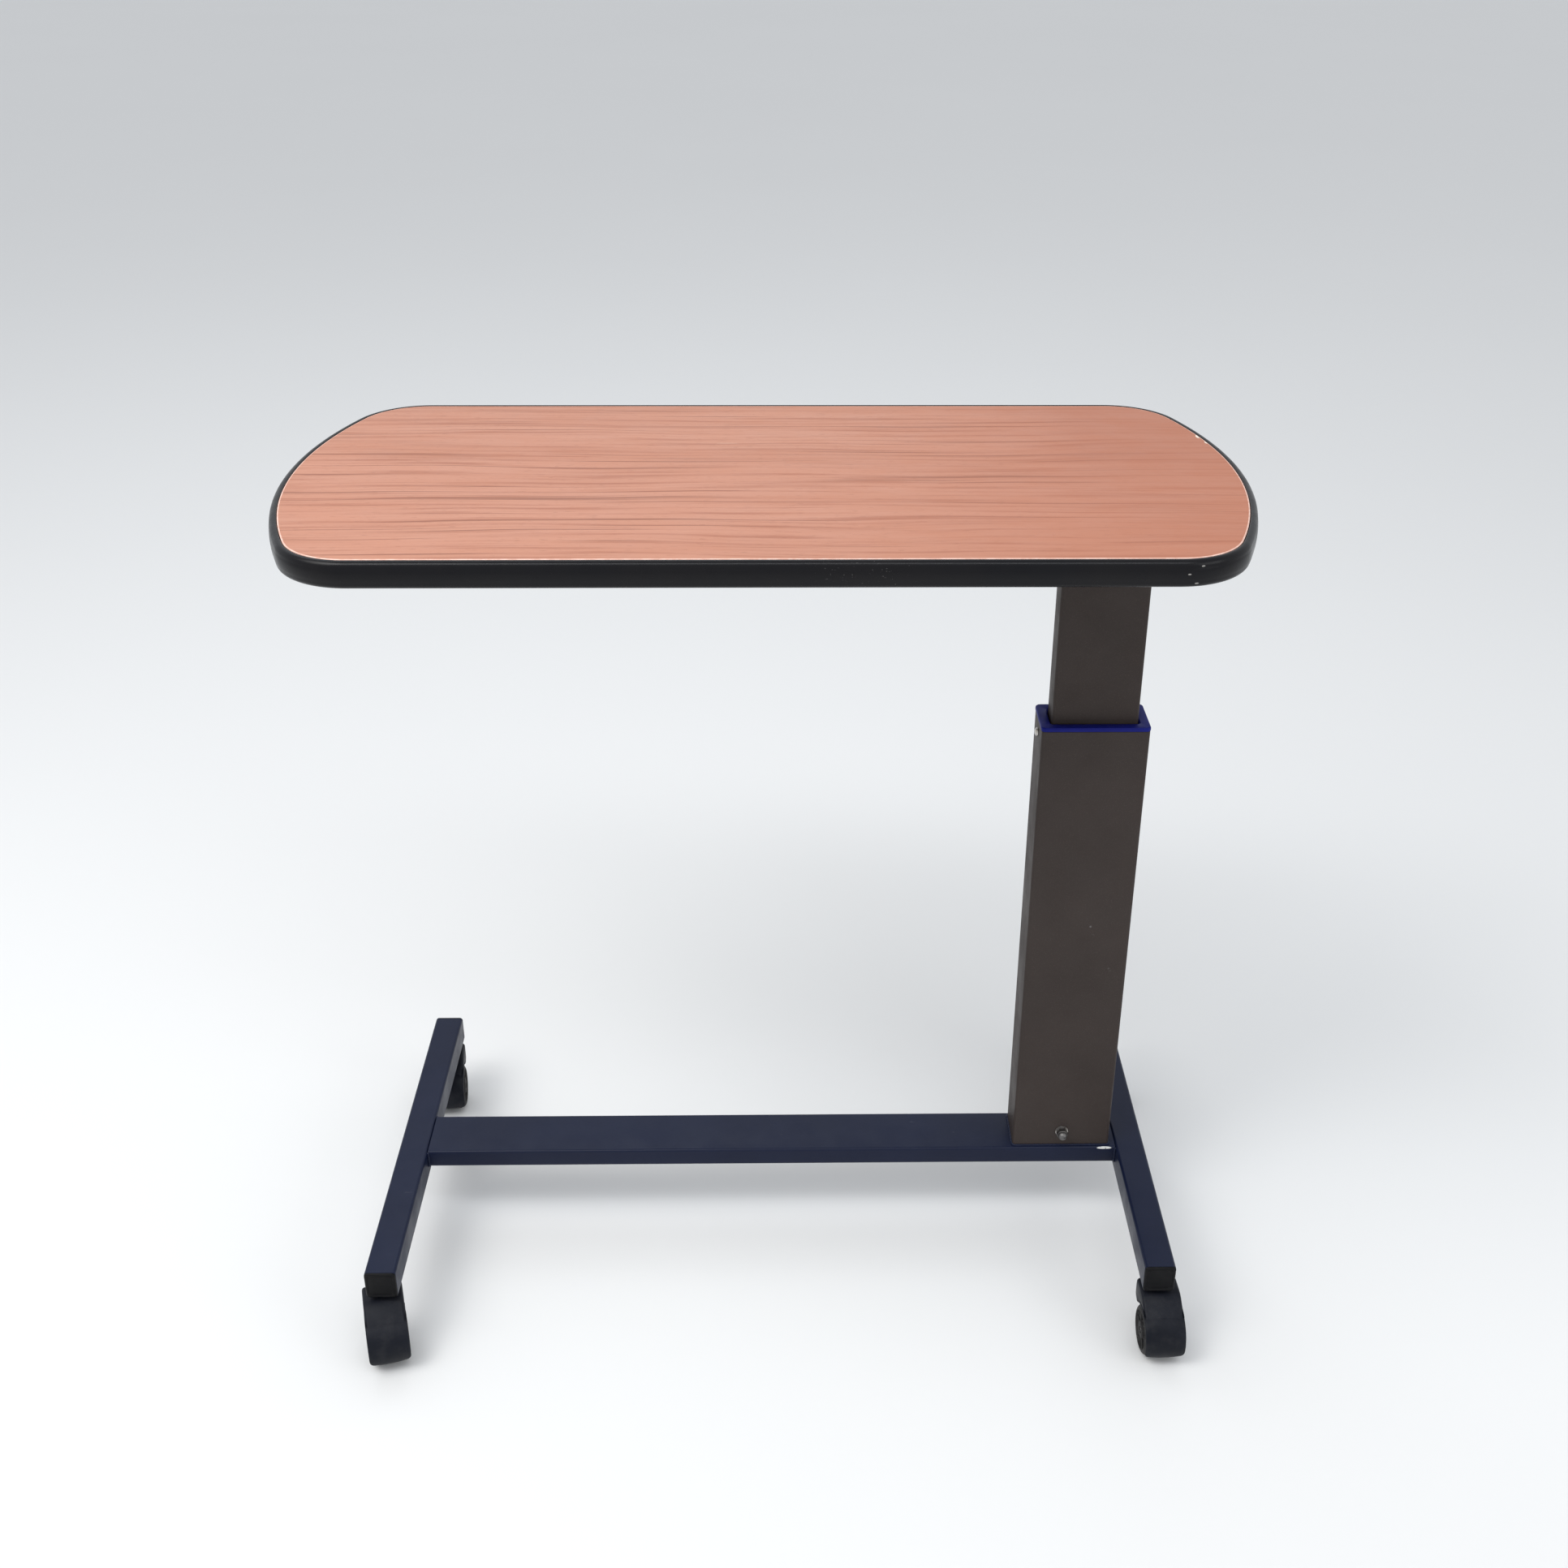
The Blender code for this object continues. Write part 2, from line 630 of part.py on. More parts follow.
def build_pivot_bolt():
    """The bolt through the foot of the column that anchors the gas spring, its domed nut at the front."""
    face = OUTER_DEPTH / 2
    washer_thick, nut_length, head = 0.0012, 0.0060, 0.0040
    across = (math.radians(90), 0, 0)
    shank_end = face + GAP + washer_thick + GAP + nut_length + 0.001
    shank = [
        (0, shank_end),
        (BOLT_RADIUS, shank_end - 0.0004),
        (BOLT_RADIUS, -face - GAP),
        (0, -face - GAP),
    ]
    bolt = turned("column_pivot_bolt", shank, "zinc_steel", (COLUMN_X, 0, BOLT_Z), across, steps=20)
    head_mesh = cylinder_mesh("bolt_head", 0.0057, head, 6)
    head_at = (COLUMN_X, face + GAP + head / 2 - 0.0002, BOLT_Z)
    boolean(bolt, link_part("bolt_head", head_mesh, None, head_at, across), "UNION")
    washer = [
        (0.0065, washer_thick),
        (0.0065, 0),
        (BOLT_RADIUS + GAP, 0),
        (BOLT_RADIUS + GAP, washer_thick),
    ]
    turned(
        "pivot_bolt_washer",
        washer,
        "zinc_steel",
        (COLUMN_X, -face - GAP, BOLT_Z),
        across,
        steps=20,
        bored=True,
    )
    nut_y = -face - 2 * GAP - washer_thick
    nut_mesh = cylinder_mesh("pivot_domed_nut", 0.0060, nut_length, 6)
    nut = link_part(
        "pivot_domed_nut",
        nut_mesh,
        "zinc_steel",
        (COLUMN_X, nut_y - nut_length / 2, BOLT_Z),
        across,
    )
    dome = [(0, 0.0052), (0.0022, 0.0046), (0.0040, 0.0029), (0.0050, 0), (0.0050, -0.003), (0, -0.003)]
    boolean(
        nut,
        turned("nut_dome", dome, None, (COLUMN_X, nut_y - nut_length, BOLT_Z), across, steps=16),
        "UNION",
    )
    bore_length = 2 * (nut_length + 0.0016)
    boolean(
        nut,
        cutter_cylinder("nut_bore", BOLT_RADIUS + GAP, bore_length, (COLUMN_X, nut_y, BOLT_Z), across),
    )


def build_gas_spring():
    """A locking gas spring: its cylinder stands on the pivot bolt, and its rod pushes the head plate up."""
    bottom, rod_hole = BOLT_Z + 0.006, ROD_RADIUS + 0.0004
    profile = [
        (0, bottom + 0.008),
        (GAS_BORE, bottom + 0.008),
        (GAS_BORE, GAS_TOP - GAS_GUIDE),
        (rod_hole, GAS_TOP - GAS_GUIDE),
        (rod_hole, GAS_TOP),
        (GAS_RADIUS, GAS_TOP),
        (GAS_RADIUS, bottom + 0.003),
        (GAS_RADIUS - 0.002, bottom),
        (0, bottom),
    ]
    gas = turned("gas_spring_cylinder", profile, "black_plastic", (COLUMN_X, 0, 0), steps=20)
    across = (math.radians(90), 0, 0)
    eye_mesh = cylinder_mesh("spring_eye", 0.0085, 0.046, 20)
    boolean(gas, link_part("spring_eye", eye_mesh, None, (COLUMN_X, 0, BOLT_Z), across), "UNION")
    boolean(
        gas,
        cutter_cylinder("spring_eye_bore", BOLT_RADIUS + GAP, 0.060, (COLUMN_X, 0, BOLT_Z), across),
    )
    rod = [
        (0, INNER_TOP - PIN_DEPTH - 0.004),
        (PIN_RADIUS + GAP, INNER_TOP - PIN_DEPTH - 0.004),
        (PIN_RADIUS + GAP, INNER_TOP),
        (ROD_RADIUS, INNER_TOP),
        (ROD_RADIUS, PISTON_Z + 0.012),
        (PISTON_RADIUS, PISTON_Z + 0.012),
        (PISTON_RADIUS, PISTON_Z + 0.001),
        (PISTON_RADIUS - 0.001, PISTON_Z),
        (0, PISTON_Z),
    ]
    turned("gas_spring_rod", rod, "rod_steel", (COLUMN_X, 0, 0), steps=16)
    pin_top = LEVER_Z - LEVER_THICK / 2 - GAP
    pin = [(0, pin_top), (0.0012, pin_top - 0.0003), (PIN_RADIUS, pin_top - 0.0012)]
    pin += [(PIN_RADIUS, INNER_TOP - PIN_DEPTH), (0, INNER_TOP - PIN_DEPTH)]
    turned("release_pin", pin, "zinc_steel", (COLUMN_X, 0, 0), steps=16)


def build_inner_column():
    length = INNER_TOP - INNER_BOTTOM
    link_part(
        "inner_column",
        tube_mesh("inner_column", INNER_WIDTH, INNER_DEPTH, length),
        "column_paint",
        (COLUMN_X, 0, INNER_TOP - length / 2),
    )
    clear, block, spigot_length = 2 * (WALL + 0.0004), 0.022, 0.016
    body = outline_mesh(
        "lower_glide", [rounded_rectangle(OUTER_WIDTH - clear, OUTER_DEPTH - clear, 0.0022)], block
    )
    glide = link_part("lower_glide", body, "black_plastic", (COLUMN_X, 0, INNER_BOTTOM - GAP - block / 2))
    spigot_mesh = outline_mesh(
        "glide_spigot", [rounded_rectangle(INNER_WIDTH - clear, INNER_DEPTH - clear, 0.0012)], spigot_length
    )
    spigot_z = INNER_BOTTOM - 0.002 + spigot_length / 2
    boolean(glide, link_part("glide_spigot", spigot_mesh, None, (COLUMN_X, 0, spigot_z)), "UNION")
    bore_at = (COLUMN_X, 0, INNER_BOTTOM)
    boolean(glide, cutter_cylinder("glide_bore", GAS_RADIUS + 0.0006, 0.080, bore_at))


def build_head():
    """The plate that joins the inner column to the rails and carries the release lever."""
    plate_z = INNER_TOP + GAP + PLATE_THICK / 2
    plate = link_part(
        "head_plate",
        outline_mesh("head_plate", [rounded_rectangle(PLATE_X, PLATE_Y, 0.008)], PLATE_THICK),
        "base_paint",
        (COLUMN_X, 0, plate_z),
    )
    boolean(
        plate,
        cutter_cylinder("head_pin_hole", PIN_RADIUS + 0.0005, 0.020, (COLUMN_X, 0, plate_z), sides=16),
    )
    plate_top = plate_z + PLATE_THICK / 2
    sheet, ear_gap = 0.0016, LEVER_WIDTH / 2 + 0.0005
    bracket = link_part(
        "lever_bracket",
        box_mesh("lever_bracket", (0.014, 2 * (ear_gap + sheet), sheet)),
        "zinc_steel",
        (LEVER_PIVOT_X, 0, plate_top + GAP + sheet / 2),
    )
    across = (math.radians(90), 0, 0)
    ear_outline = [(-0.007, plate_top + GAP), (0.007, plate_top + GAP)]
    ear_outline += arc((0, LEVER_Z), 0.0045, 0, 180, 8)
    for side, sign in (("front", -1), ("rear", 1)):
        name = f"bracket_{side}_ear"
        ear_mesh = outline_mesh(name, [ear_outline], sheet)
        ear_y = sign * (ear_gap + sheet / 2)
        boolean(bracket, link_part(name, ear_mesh, None, (LEVER_PIVOT_X, ear_y, 0), across), "UNION")
    pivot = (LEVER_PIVOT_X, 0, LEVER_Z)
    boolean(
        bracket,
        cutter_cylinder("bracket_holes", LEVER_PIN_RADIUS + GAP, 0.040, pivot, across, sides=16),
    )
    half = ear_gap + sheet + 0.0020
    pin = [
        (0, half),
        (LEVER_PIN_RADIUS, half),
        (LEVER_PIN_RADIUS, -half + 0.0016),
        (0.0026, -half + 0.0016),
    ]
    turned("lever_pivot_pin", pin + [(0.0026, -half), (0, -half)], "zinc_steel", pivot, across, steps=16)
    build_lever(pivot, across)


def build_lever(pivot, across):
    """The lever presses the release pin with its inner end; its outer end droops to the grip."""
    half = LEVER_THICK / 2
    side_view = [(-0.028, -half), (0.034, -half), (0.044, -0.0074), (0.070, -0.0074), (0.070, -0.0044)]
    side_view += [(0.046, -0.0044), (0.035, half)] + [(-0.028, half)]
    lever_mesh = outline_mesh("release_lever", [side_view], LEVER_WIDTH)
    lever = link_part("release_lever", lever_mesh, "zinc_steel", pivot, across)
    boolean(lever, cutter_cylinder("lever_bore", LEVER_PIN_RADIUS + 0.0001, 0.040, pivot, across, sides=16))
    grip_size = (0.030, 0.052, 0.0080)
    grip_at = (pivot[0] + 0.0620, 0, pivot[2] - 0.0059)
    grip_mesh = outline_mesh(
        "lever_grip",
        [rounded_rectangle(grip_size[0], grip_size[1], 0.007)],
        grip_size[2],
    )
    grip = link_part("lever_grip", grip_mesh, "black_plastic", grip_at)
    pocket_mesh = box_mesh("grip_pocket", (0.040, LEVER_WIDTH + 2 * GAP, 0.0030 + 2 * GAP))
    boolean(grip, link_part("grip_pocket", pocket_mesh, None, (pivot[0] + 0.0503, 0, pivot[2] - 0.0059)))


def build():
    board, backer = build_top()
    build_rails(board, backer)
    build_feet()
    build_crossbar()
    for place, (x, side, trail_angle) in CASTERS.items():
        build_caster(place, x, side, trail_angle)
    column = build_outer_column()
    build_guide_sleeve(column)
    build_pivot_bolt()
    build_gas_spring()
    build_inner_column()
    build_head()


build()
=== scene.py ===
"""The looks of the overbed table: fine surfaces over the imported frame, materials, studio, camera.

Metres, +Z up.
"""

import json
import math

import bmesh
import bpy
from mathutils import Matrix, Vector

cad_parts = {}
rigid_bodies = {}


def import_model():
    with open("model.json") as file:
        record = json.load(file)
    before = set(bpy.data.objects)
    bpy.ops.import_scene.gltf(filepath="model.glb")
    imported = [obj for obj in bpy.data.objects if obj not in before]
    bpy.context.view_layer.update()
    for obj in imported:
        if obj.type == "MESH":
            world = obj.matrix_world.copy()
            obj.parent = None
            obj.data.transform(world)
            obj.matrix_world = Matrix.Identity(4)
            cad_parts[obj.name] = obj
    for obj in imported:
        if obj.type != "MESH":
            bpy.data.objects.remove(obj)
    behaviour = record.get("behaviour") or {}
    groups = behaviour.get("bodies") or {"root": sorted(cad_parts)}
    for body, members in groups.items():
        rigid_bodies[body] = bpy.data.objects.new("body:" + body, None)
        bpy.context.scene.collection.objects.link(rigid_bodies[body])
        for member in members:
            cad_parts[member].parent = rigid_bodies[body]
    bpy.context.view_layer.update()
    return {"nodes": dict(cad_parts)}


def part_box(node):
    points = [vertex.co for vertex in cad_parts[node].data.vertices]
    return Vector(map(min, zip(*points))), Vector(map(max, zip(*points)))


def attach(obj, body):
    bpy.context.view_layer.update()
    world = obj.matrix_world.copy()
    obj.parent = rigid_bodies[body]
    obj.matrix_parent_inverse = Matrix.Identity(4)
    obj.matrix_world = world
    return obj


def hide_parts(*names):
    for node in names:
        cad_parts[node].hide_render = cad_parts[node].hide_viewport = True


for thing in list(bpy.data.objects):
    bpy.data.objects.remove(thing, do_unlink=True)
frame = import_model()
NODES = frame["nodes"]

# ---- placement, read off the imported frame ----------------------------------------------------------


def span(node):
    low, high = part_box(node)
    return Vector(low), Vector(high)


TABLE_Y = sum(p.y for p in span("outer_column")) / 2
TOP_Z = span("top_laminate")[1].z
CASTER_TURNS = {"front_left": -75.0, "front_right": -88.0, "rear_left": -85.0, "rear_right": -90.0}
TRAIL, WHEEL_Z, WHEEL_RADIUS = 0.020, 0.025, 0.025
HOOD_INNER, HOOD_OUTER, HOOD_HALF, SADDLE_HALF = 0.0257, 0.0275, 0.0195, 0.0191
LIP_TURN = -28  # the front lip, in degrees round the wheel


# ---- materials -------------------------------------------------------------------------------------
class Finish:
    """A Principled material; its colour, roughness and relief are nodes in the piece's coordinates."""

    def __init__(self, name, roughness=0.5, metallic=0.0, **sockets):
        self.material = bpy.data.materials.new(name)
        self.material.use_nodes = True
        self.tree = self.material.node_tree
        self.shader = self.tree.nodes["Principled BSDF"]
        self.place = self.tree.nodes.new("ShaderNodeTexCoord").outputs["Object"]
        self.shader.inputs["Roughness"].default_value = roughness
        self.shader.inputs["Metallic"].default_value = metallic
        for socket, value in sockets.items():
            self.shader.inputs[socket.replace("_", " ")].default_value = value

    def feed(self, socket, value):
        if isinstance(value, bpy.types.NodeSocket):
            self.tree.links.new(value, socket)
        elif isinstance(value, tuple) and socket.type == "RGBA":
            socket.default_value = (*value[:3], 1.0)
        else:
            socket.default_value = value

    def node(self, kind, **settings):
        made = self.tree.nodes.new(kind)
        for key, value in settings.items():
            setattr(made, key, value)
        return made

    def noise(self, scale, stretch=(1, 1, 1), detail=3.0, rough=0.55, place=None, shift=(0, 0, 0)):
        mapping = self.node("ShaderNodeMapping")
        self.feed(mapping.inputs["Vector"], place or self.place)
        mapping.inputs["Scale"].default_value = [scale * s for s in stretch]
        mapping.inputs["Location"].default_value = shift
        made = self.node("ShaderNodeTexNoise")
        made.inputs["Scale"].default_value = 1.0
        made.inputs["Detail"].default_value = detail
        made.inputs["Roughness"].default_value = rough
        self.tree.links.new(mapping.outputs["Vector"], made.inputs["Vector"])
        return made.outputs["Fac"]

    def level(self, value, low, high, out_low=0.0, out_high=1.0):
        made = self.node("ShaderNodeMapRange", clamp=True, interpolation_type="SMOOTHSTEP")
        names = ("From Min", "From Max", "To Min", "To Max")
        for name, number in zip(names, (low, high, out_low, out_high)):
            made.inputs[name].default_value = number
        self.feed(made.inputs["Value"], value)
        return made.outputs["Result"]

    def math(self, operation, a, b=0.0):
        made = self.node("ShaderNodeMath", operation=operation)
        self.feed(made.inputs[0], a)
        self.feed(made.inputs[1], b)
        return made.outputs["Value"]

    def mix(self, share, a, b):
        made = self.node("ShaderNodeMix", data_type="RGBA")
        self.feed(made.inputs["Factor"], share)
        colours = [s for s in made.inputs if s.type == "RGBA"]
        self.feed(colours[0], a)
        self.feed(colours[1], b)
        return next(s for s in made.outputs if s.type == "RGBA")

    def axis(self, letter, place=None):
        made = self.node("ShaderNodeSeparateXYZ")
        self.feed(made.inputs["Vector"], place or self.place)
        return made.outputs[letter]

    def near(self, x, y, z, reach):
        """1 at a point, 0 beyond an ellipsoid of this reach."""
        terms = []
        for letter, middle, radius in zip("XYZ", (x, y, z), reach):
            offset = self.math("SUBTRACT", self.axis(letter), middle)
            share = self.math("DIVIDE", self.math("ABSOLUTE", offset), radius)
            terms.append(self.math("POWER", share, 2.0))
        total = self.math("ADD", self.math("ADD", terms[0], terms[1]), terms[2])
        return self.level(total, 0.7, 1.0, 1.0, 0.0)

    def colour(self, value):
        self.feed(self.shader.inputs["Base Color"], value)

    def roughness(self, value):
        self.feed(self.shader.inputs["Roughness"], value)

    def relief(self, *layers):
        """Bump from (height, distance in metres) layers, each over the one before."""
        normal = None
        for height, distance in layers:
            made = self.node("ShaderNodeBump")
            made.inputs["Strength"].default_value = 1.0
            made.inputs["Distance"].default_value = distance
            self.feed(made.inputs["Height"], height)
            if normal:
                self.tree.links.new(normal, made.inputs["Normal"])
            normal = made.outputs["Normal"]
        self.tree.links.new(normal, self.shader.inputs["Normal"])


def wood_laminate():
    f = Finish("laminate_wood", Specular_IOR_Level=0.25)
    warp = f.node("ShaderNodeVectorMath", operation="MULTIPLY_ADD")
    drift = f.node("ShaderNodeCombineXYZ")
    f.feed(drift.inputs["Y"], f.math("SUBTRACT", f.noise(1.0, (2.2, 7.0, 1), 2.0), 0.5))
    f.feed(warp.inputs[0], drift.outputs["Vector"])
    warp.inputs[1].default_value = (0.0, 0.045, 0.0)
    f.feed(warp.inputs[2], f.place)
    grain = warp.outputs["Vector"]
    light, middle, dark = (0.531, 0.248, 0.166), (0.485, 0.210, 0.132), (0.362, 0.136, 0.079)
    bands = f.noise(1.0, (1.5, 22, 1), 4.0, 0.6, grain)
    colour = f.mix(f.level(bands, 0.25, 0.75), light, middle)
    streaks = f.noise(1.0, (5, 150, 1), 4.0, 0.6, grain, (3, 1, 0))
    colour = f.mix(f.level(streaks, 0.46, 0.70, 0.0, 0.85), colour, dark)
    pale = f.noise(1.0, (4, 210, 1), 3.0, 0.6, grain, (9, 5, 0))
    colour = f.mix(f.level(pale, 0.55, 0.78, 0.0, 0.34), colour, (0.585, 0.301, 0.203))
    lines = f.noise(1.0, (2.6, 240, 1), 2.0, 0.4, grain, (1, 8, 0))
    colour = f.mix(f.level(lines, 0.61, 0.70, 0.0, 0.75), colour, (0.231, 0.081, 0.044))
    pores = f.noise(1.0, (90, 1500, 1), 1.0, 0.5, grain, (4, 4, 0))
    colour = f.mix(f.level(pores, 0.66, 0.74, 0.0, 0.55), colour, (0.208, 0.073, 0.041))
    # Painted shade: the top grows darker and redder towards the right end, in clouds and in a steady ramp
    # along X, standing in for the sheen that lights its left end.
    clouds = f.noise(5.5, (1, 1, 1), 2.0, 0.5, None, (1.7, 0.4, 0))
    painted_shade_clouds = f.math("MULTIPLY", f.level(clouds, 0.36, 0.74), f.level(f.axis("X"), 0.02, 0.36))
    colour = f.mix(f.math("MULTIPLY", painted_shade_clouds, 0.36), colour, (0.339, 0.115, 0.064))
    colour = f.mix(f.level(f.axis("X"), 0.0, 0.40, 0.0, 0.62), colour, (0.416, 0.143, 0.076))
    chip = f.math("MAXIMUM", f.near(0.3945, TABLE_Y + 0.103, TOP_Z, (0.0028, 0.0060, 0.01)),
                  f.near(0.3985, TABLE_Y + 0.086, TOP_Z, (0.0022, 0.0042, 0.01)))
    chip = f.math("MULTIPLY", chip, f.level(f.noise(420), 0.36, 0.46))
    colour = f.mix(chip, colour, (0.86, 0.82, 0.70))
    scratch = f.math("MULTIPLY", f.near(-0.036, TABLE_Y + 0.084, TOP_Z, (0.011, 0.0006, 0.01)), 0.5)
    colour = f.mix(scratch, colour, (0.693, 0.504, 0.394))
    f.colour(colour)
    wear = f.noise(26, (1, 1.6, 1), 4.0)
    rub = f.noise(1.0, (9, 60, 1), 3.0, 0.6)
    f.roughness(f.math("ADD", f.level(wear, 0.3, 0.7, 0.36, 0.46), f.level(rub, 0.4, 0.7, 0.0, 0.05)))
    f.relief((f.noise(1500, (1, 1, 1), 2.0), 0.00002), (pores, 0.00002))
    return f.material


def laminate_edge():
    f = Finish("laminate_edge", 0.45)
    fleck = f.level(f.noise(160, (1, 1, 1), 3.0), 0.35, 0.65)
    f.colour(f.mix(fleck, (0.84, 0.56, 0.47), (0.72, 0.42, 0.33)))
    f.relief((f.noise(900), 0.00003))
    return f.material


def powder_coat(name, colour, other, roughness, grain=1500.0, height=0.00006, extra=None):
    """Paint with a fine orange peel, slight unevenness of colour, dust and rubbed spots."""
    f = Finish(name, roughness, Specular_IOR_Level=0.22)
    clouds = f.noise(9, (1, 1, 1), 4.0)
    shade = f.mix(f.level(clouds, 0.3, 0.7), colour, other)
    speck = f.level(f.noise(2100, (1, 1, 1), 1.0), 0.62, 0.74, 0.0, 0.35)
    shade = f.mix(speck, shade, tuple(min(1.0, 2.6 * c + 0.015) for c in colour))
    scuffs = f.math("MULTIPLY", f.level(f.noise(1.0, (70, 520, 70), 3.0), 0.70, 0.76),
                    f.level(f.noise(11, (1, 1, 1), 2.0, 0.5, None, (5, 2, 7)), 0.56, 0.64))
    shade = f.mix(f.math("MULTIPLY", scuffs, 0.30), shade, (0.30, 0.30, 0.31))
    if extra:
        shade = extra(f, shade)
    f.colour(shade)
    peel = f.noise(grain, (1, 1, 1), 2.0)
    wide = f.noise(grain / 5, (1, 1, 1), 2.0)
    f.roughness(f.level(f.noise(30, (1, 1, 1), 4.0), 0.3, 0.7, roughness - 0.05, roughness + 0.09))
    f.relief((wide, height * 1.3), (peel, height))
    return f.material


def bare_strip(f, shade):
    """Paint knocked off the crossbar's upper front edge beside the right foot."""
    edge_y = span("crossbar")[0].y
    edge_z = span("crossbar")[1].z - 0.0012
    patch = f.near(0.3455, edge_y, edge_z, (0.0085, 0.0022, 0.0014))
    ragged = f.level(f.noise(520, (1, 1, 1), 3.0), 0.34, 0.46)
    return f.mix(f.math("MULTIPLY", patch, ragged), shade, (0.62, 0.62, 0.60))


def moulded(name, colour, other, roughness, grain=900.0, height=0.00003, dust=0.0):
    """Moulded plastic: fine spark texture, uneven sheen, and dust where dust is above 0."""
    f = Finish(name, roughness, Specular_IOR_Level=0.13)
    shade = f.mix(f.level(f.noise(24, (1, 1, 1), 4.0), 0.35, 0.65), colour, other)
    if dust:
        film = f.level(f.noise(75, (1, 1, 1), 5.0, 0.65), 0.42, 0.72, 0.0, dust)
        shade = f.mix(film, shade, (0.20, 0.19, 0.18))
    f.colour(shade)
    f.roughness(f.level(f.noise(38, (1, 1, 1), 4.0), 0.3, 0.7, roughness - 0.06, roughness + 0.08))
    f.relief((f.noise(grain, (1, 1, 1), 2.0), height))
    return f.material


def edging_plastic():
    f = Finish("edging_plastic", 0.28, Specular_IOR_Level=0.20)
    clouds = f.level(f.noise(14, (1, 1, 1), 3.0), 0.3, 0.7)
    shade = f.mix(clouds, (0.0035, 0.0035, 0.0050), (0.0055, 0.0050, 0.0060))
    marks = f.math("MULTIPLY", f.level(f.noise(1.0, (420, 420, 900), 2.0), 0.70, 0.73),
                   f.level(f.noise(9, (1, 1, 1), 1.0, 0.5, None, (2, 6, 1)), 0.60, 0.66))
    shade = f.mix(f.math("MULTIPLY", marks, 0.3), shade, (0.30, 0.29, 0.28))
    face_y = TABLE_Y - 0.2035
    for x, up, reach in ((0.3370, -0.0045, 0.0016), (0.3265, -0.0105, 0.0015), (0.3330, -0.0185, 0.0018)):
        nick = f.near(x, face_y, TOP_Z + up, (reach, 0.004, 0.0007))
        shade = f.mix(f.math("MULTIPLY", nick, 0.5), shade, (0.52, 0.50, 0.47))
    f.colour(shade)
    f.roughness(f.level(f.noise(60, (1, 1, 1), 4.0), 0.3, 0.7, 0.23, 0.33))
    f.relief((f.noise(120, (1, 1, 1), 3.0), 0.00008), (f.noise(1400, (1, 1, 1), 1.0), 0.00001))
    return f.material


def plated(name, colour, roughness, tint=(0.60, 0.56, 0.50)):
    f = Finish(name, roughness, 1.0)
    f.colour(f.mix(f.level(f.noise(110, (1, 1, 1), 4.0), 0.35, 0.7), colour, tint))
    f.roughness(f.level(f.noise(300, (1, 1, 1), 3.0), 0.3, 0.7, roughness - 0.06, roughness + 0.12))
    f.relief((f.noise(1300, (1, 1, 1), 2.0), 0.00001))
    return f.material


def particleboard():
    f = Finish("particleboard", 0.9)
    chips = f.node("ShaderNodeTexVoronoi")
    chips.inputs["Scale"].default_value = 330.0
    f.feed(chips.inputs["Vector"], f.place)
    tone = f.math("MULTIPLY", chips.outputs["Distance"], 1.6)
    f.colour(f.mix(tone, (0.58, 0.43, 0.28), (0.30, 0.20, 0.12)))
    f.relief((chips.outputs["Distance"], 0.0002))
    return f.material


def backing_sheet():
    f = Finish("backing_sheet", 0.62)
    shade = f.mix(f.level(f.noise(6, (1, 1, 1), 4.0), 0.3, 0.7), (0.53, 0.50, 0.45), (0.47, 0.44, 0.40))
    fibre = f.level(f.noise(1.0, (300, 900, 300), 2.0), 0.6, 0.75, 0.0, 0.3)
    f.colour(f.mix(fibre, shade, (0.36, 0.33, 0.29)))
    f.relief((f.noise(800, (1, 1, 1), 2.0), 0.00003))
    return f.material


WOOD = wood_laminate()
LAMINATE_EDGE = laminate_edge()
EDGING = edging_plastic()
# Painted reflection: the frame is one dark anthracite paint; the column's warm brown tint stands in for the
# floor its paint reflects.
COLUMN_PAINT_GROUND_TINT = powder_coat("column_paint_painted_ground_reflection", (0.040, 0.0300, 0.0265), (0.034, 0.0255, 0.0225), 0.54)
# Painted reflection: the base's navy tint stands in for the sky its glossy paint reflects; the paint itself
# is the same dark anthracite as the column.
BASE_PAINT_SKY_TINT = powder_coat(
    "base_paint_painted_sky_reflection",
    (0.0050, 0.0090, 0.0300),
    (0.0038, 0.0070, 0.0245),
    0.36,
    1700.0,
    0.00004,
    bare_strip,
)
BLUE = moulded("blue_guide_plastic", (0.0045, 0.0070, 0.125), (0.0060, 0.0105, 0.165), 0.46)
CAP_PLASTIC = moulded(
    "cap_plastic",
    (0.0040, 0.0040, 0.0048),
    (0.0055, 0.0053, 0.0060),
    0.42,
    700.0,
    0.00004,
    0.02,
)
HOOD_PLASTIC = moulded(
    "caster_hood_plastic",
    (0.0060, 0.0072, 0.0115),
    (0.0085, 0.0098, 0.0150),
    0.44,
    1100.0,
    0.00005,
    0.04,
)
WHEEL_PLASTIC = moulded(
    "wheel_plastic",
    (0.0150, 0.0150, 0.0160),
    (0.0200, 0.0190, 0.0190),
    0.54,
    800.0,
    0.00005,
    0.14,
)
PLAIN_PLASTIC = moulded("hidden_plastic", (0.016, 0.016, 0.018), (0.022, 0.022, 0.024), 0.50)
ZINC = plated("zinc_plate", (0.50, 0.50, 0.51), 0.30)
# Painted shade: zinc darkened to stand for the shadow on the caster stems in the gap under the feet, and on
# the domed nut in the column's shade.
SHADED_ZINC = plated("zinc_with_painted_shade", (0.15, 0.145, 0.145), 0.36, (0.20, 0.19, 0.18))
ROD = plated("hard_chrome", (0.72, 0.72, 0.74), 0.12, (0.66, 0.66, 0.68))
BOARD = particleboard()
BACKING = backing_sheet()


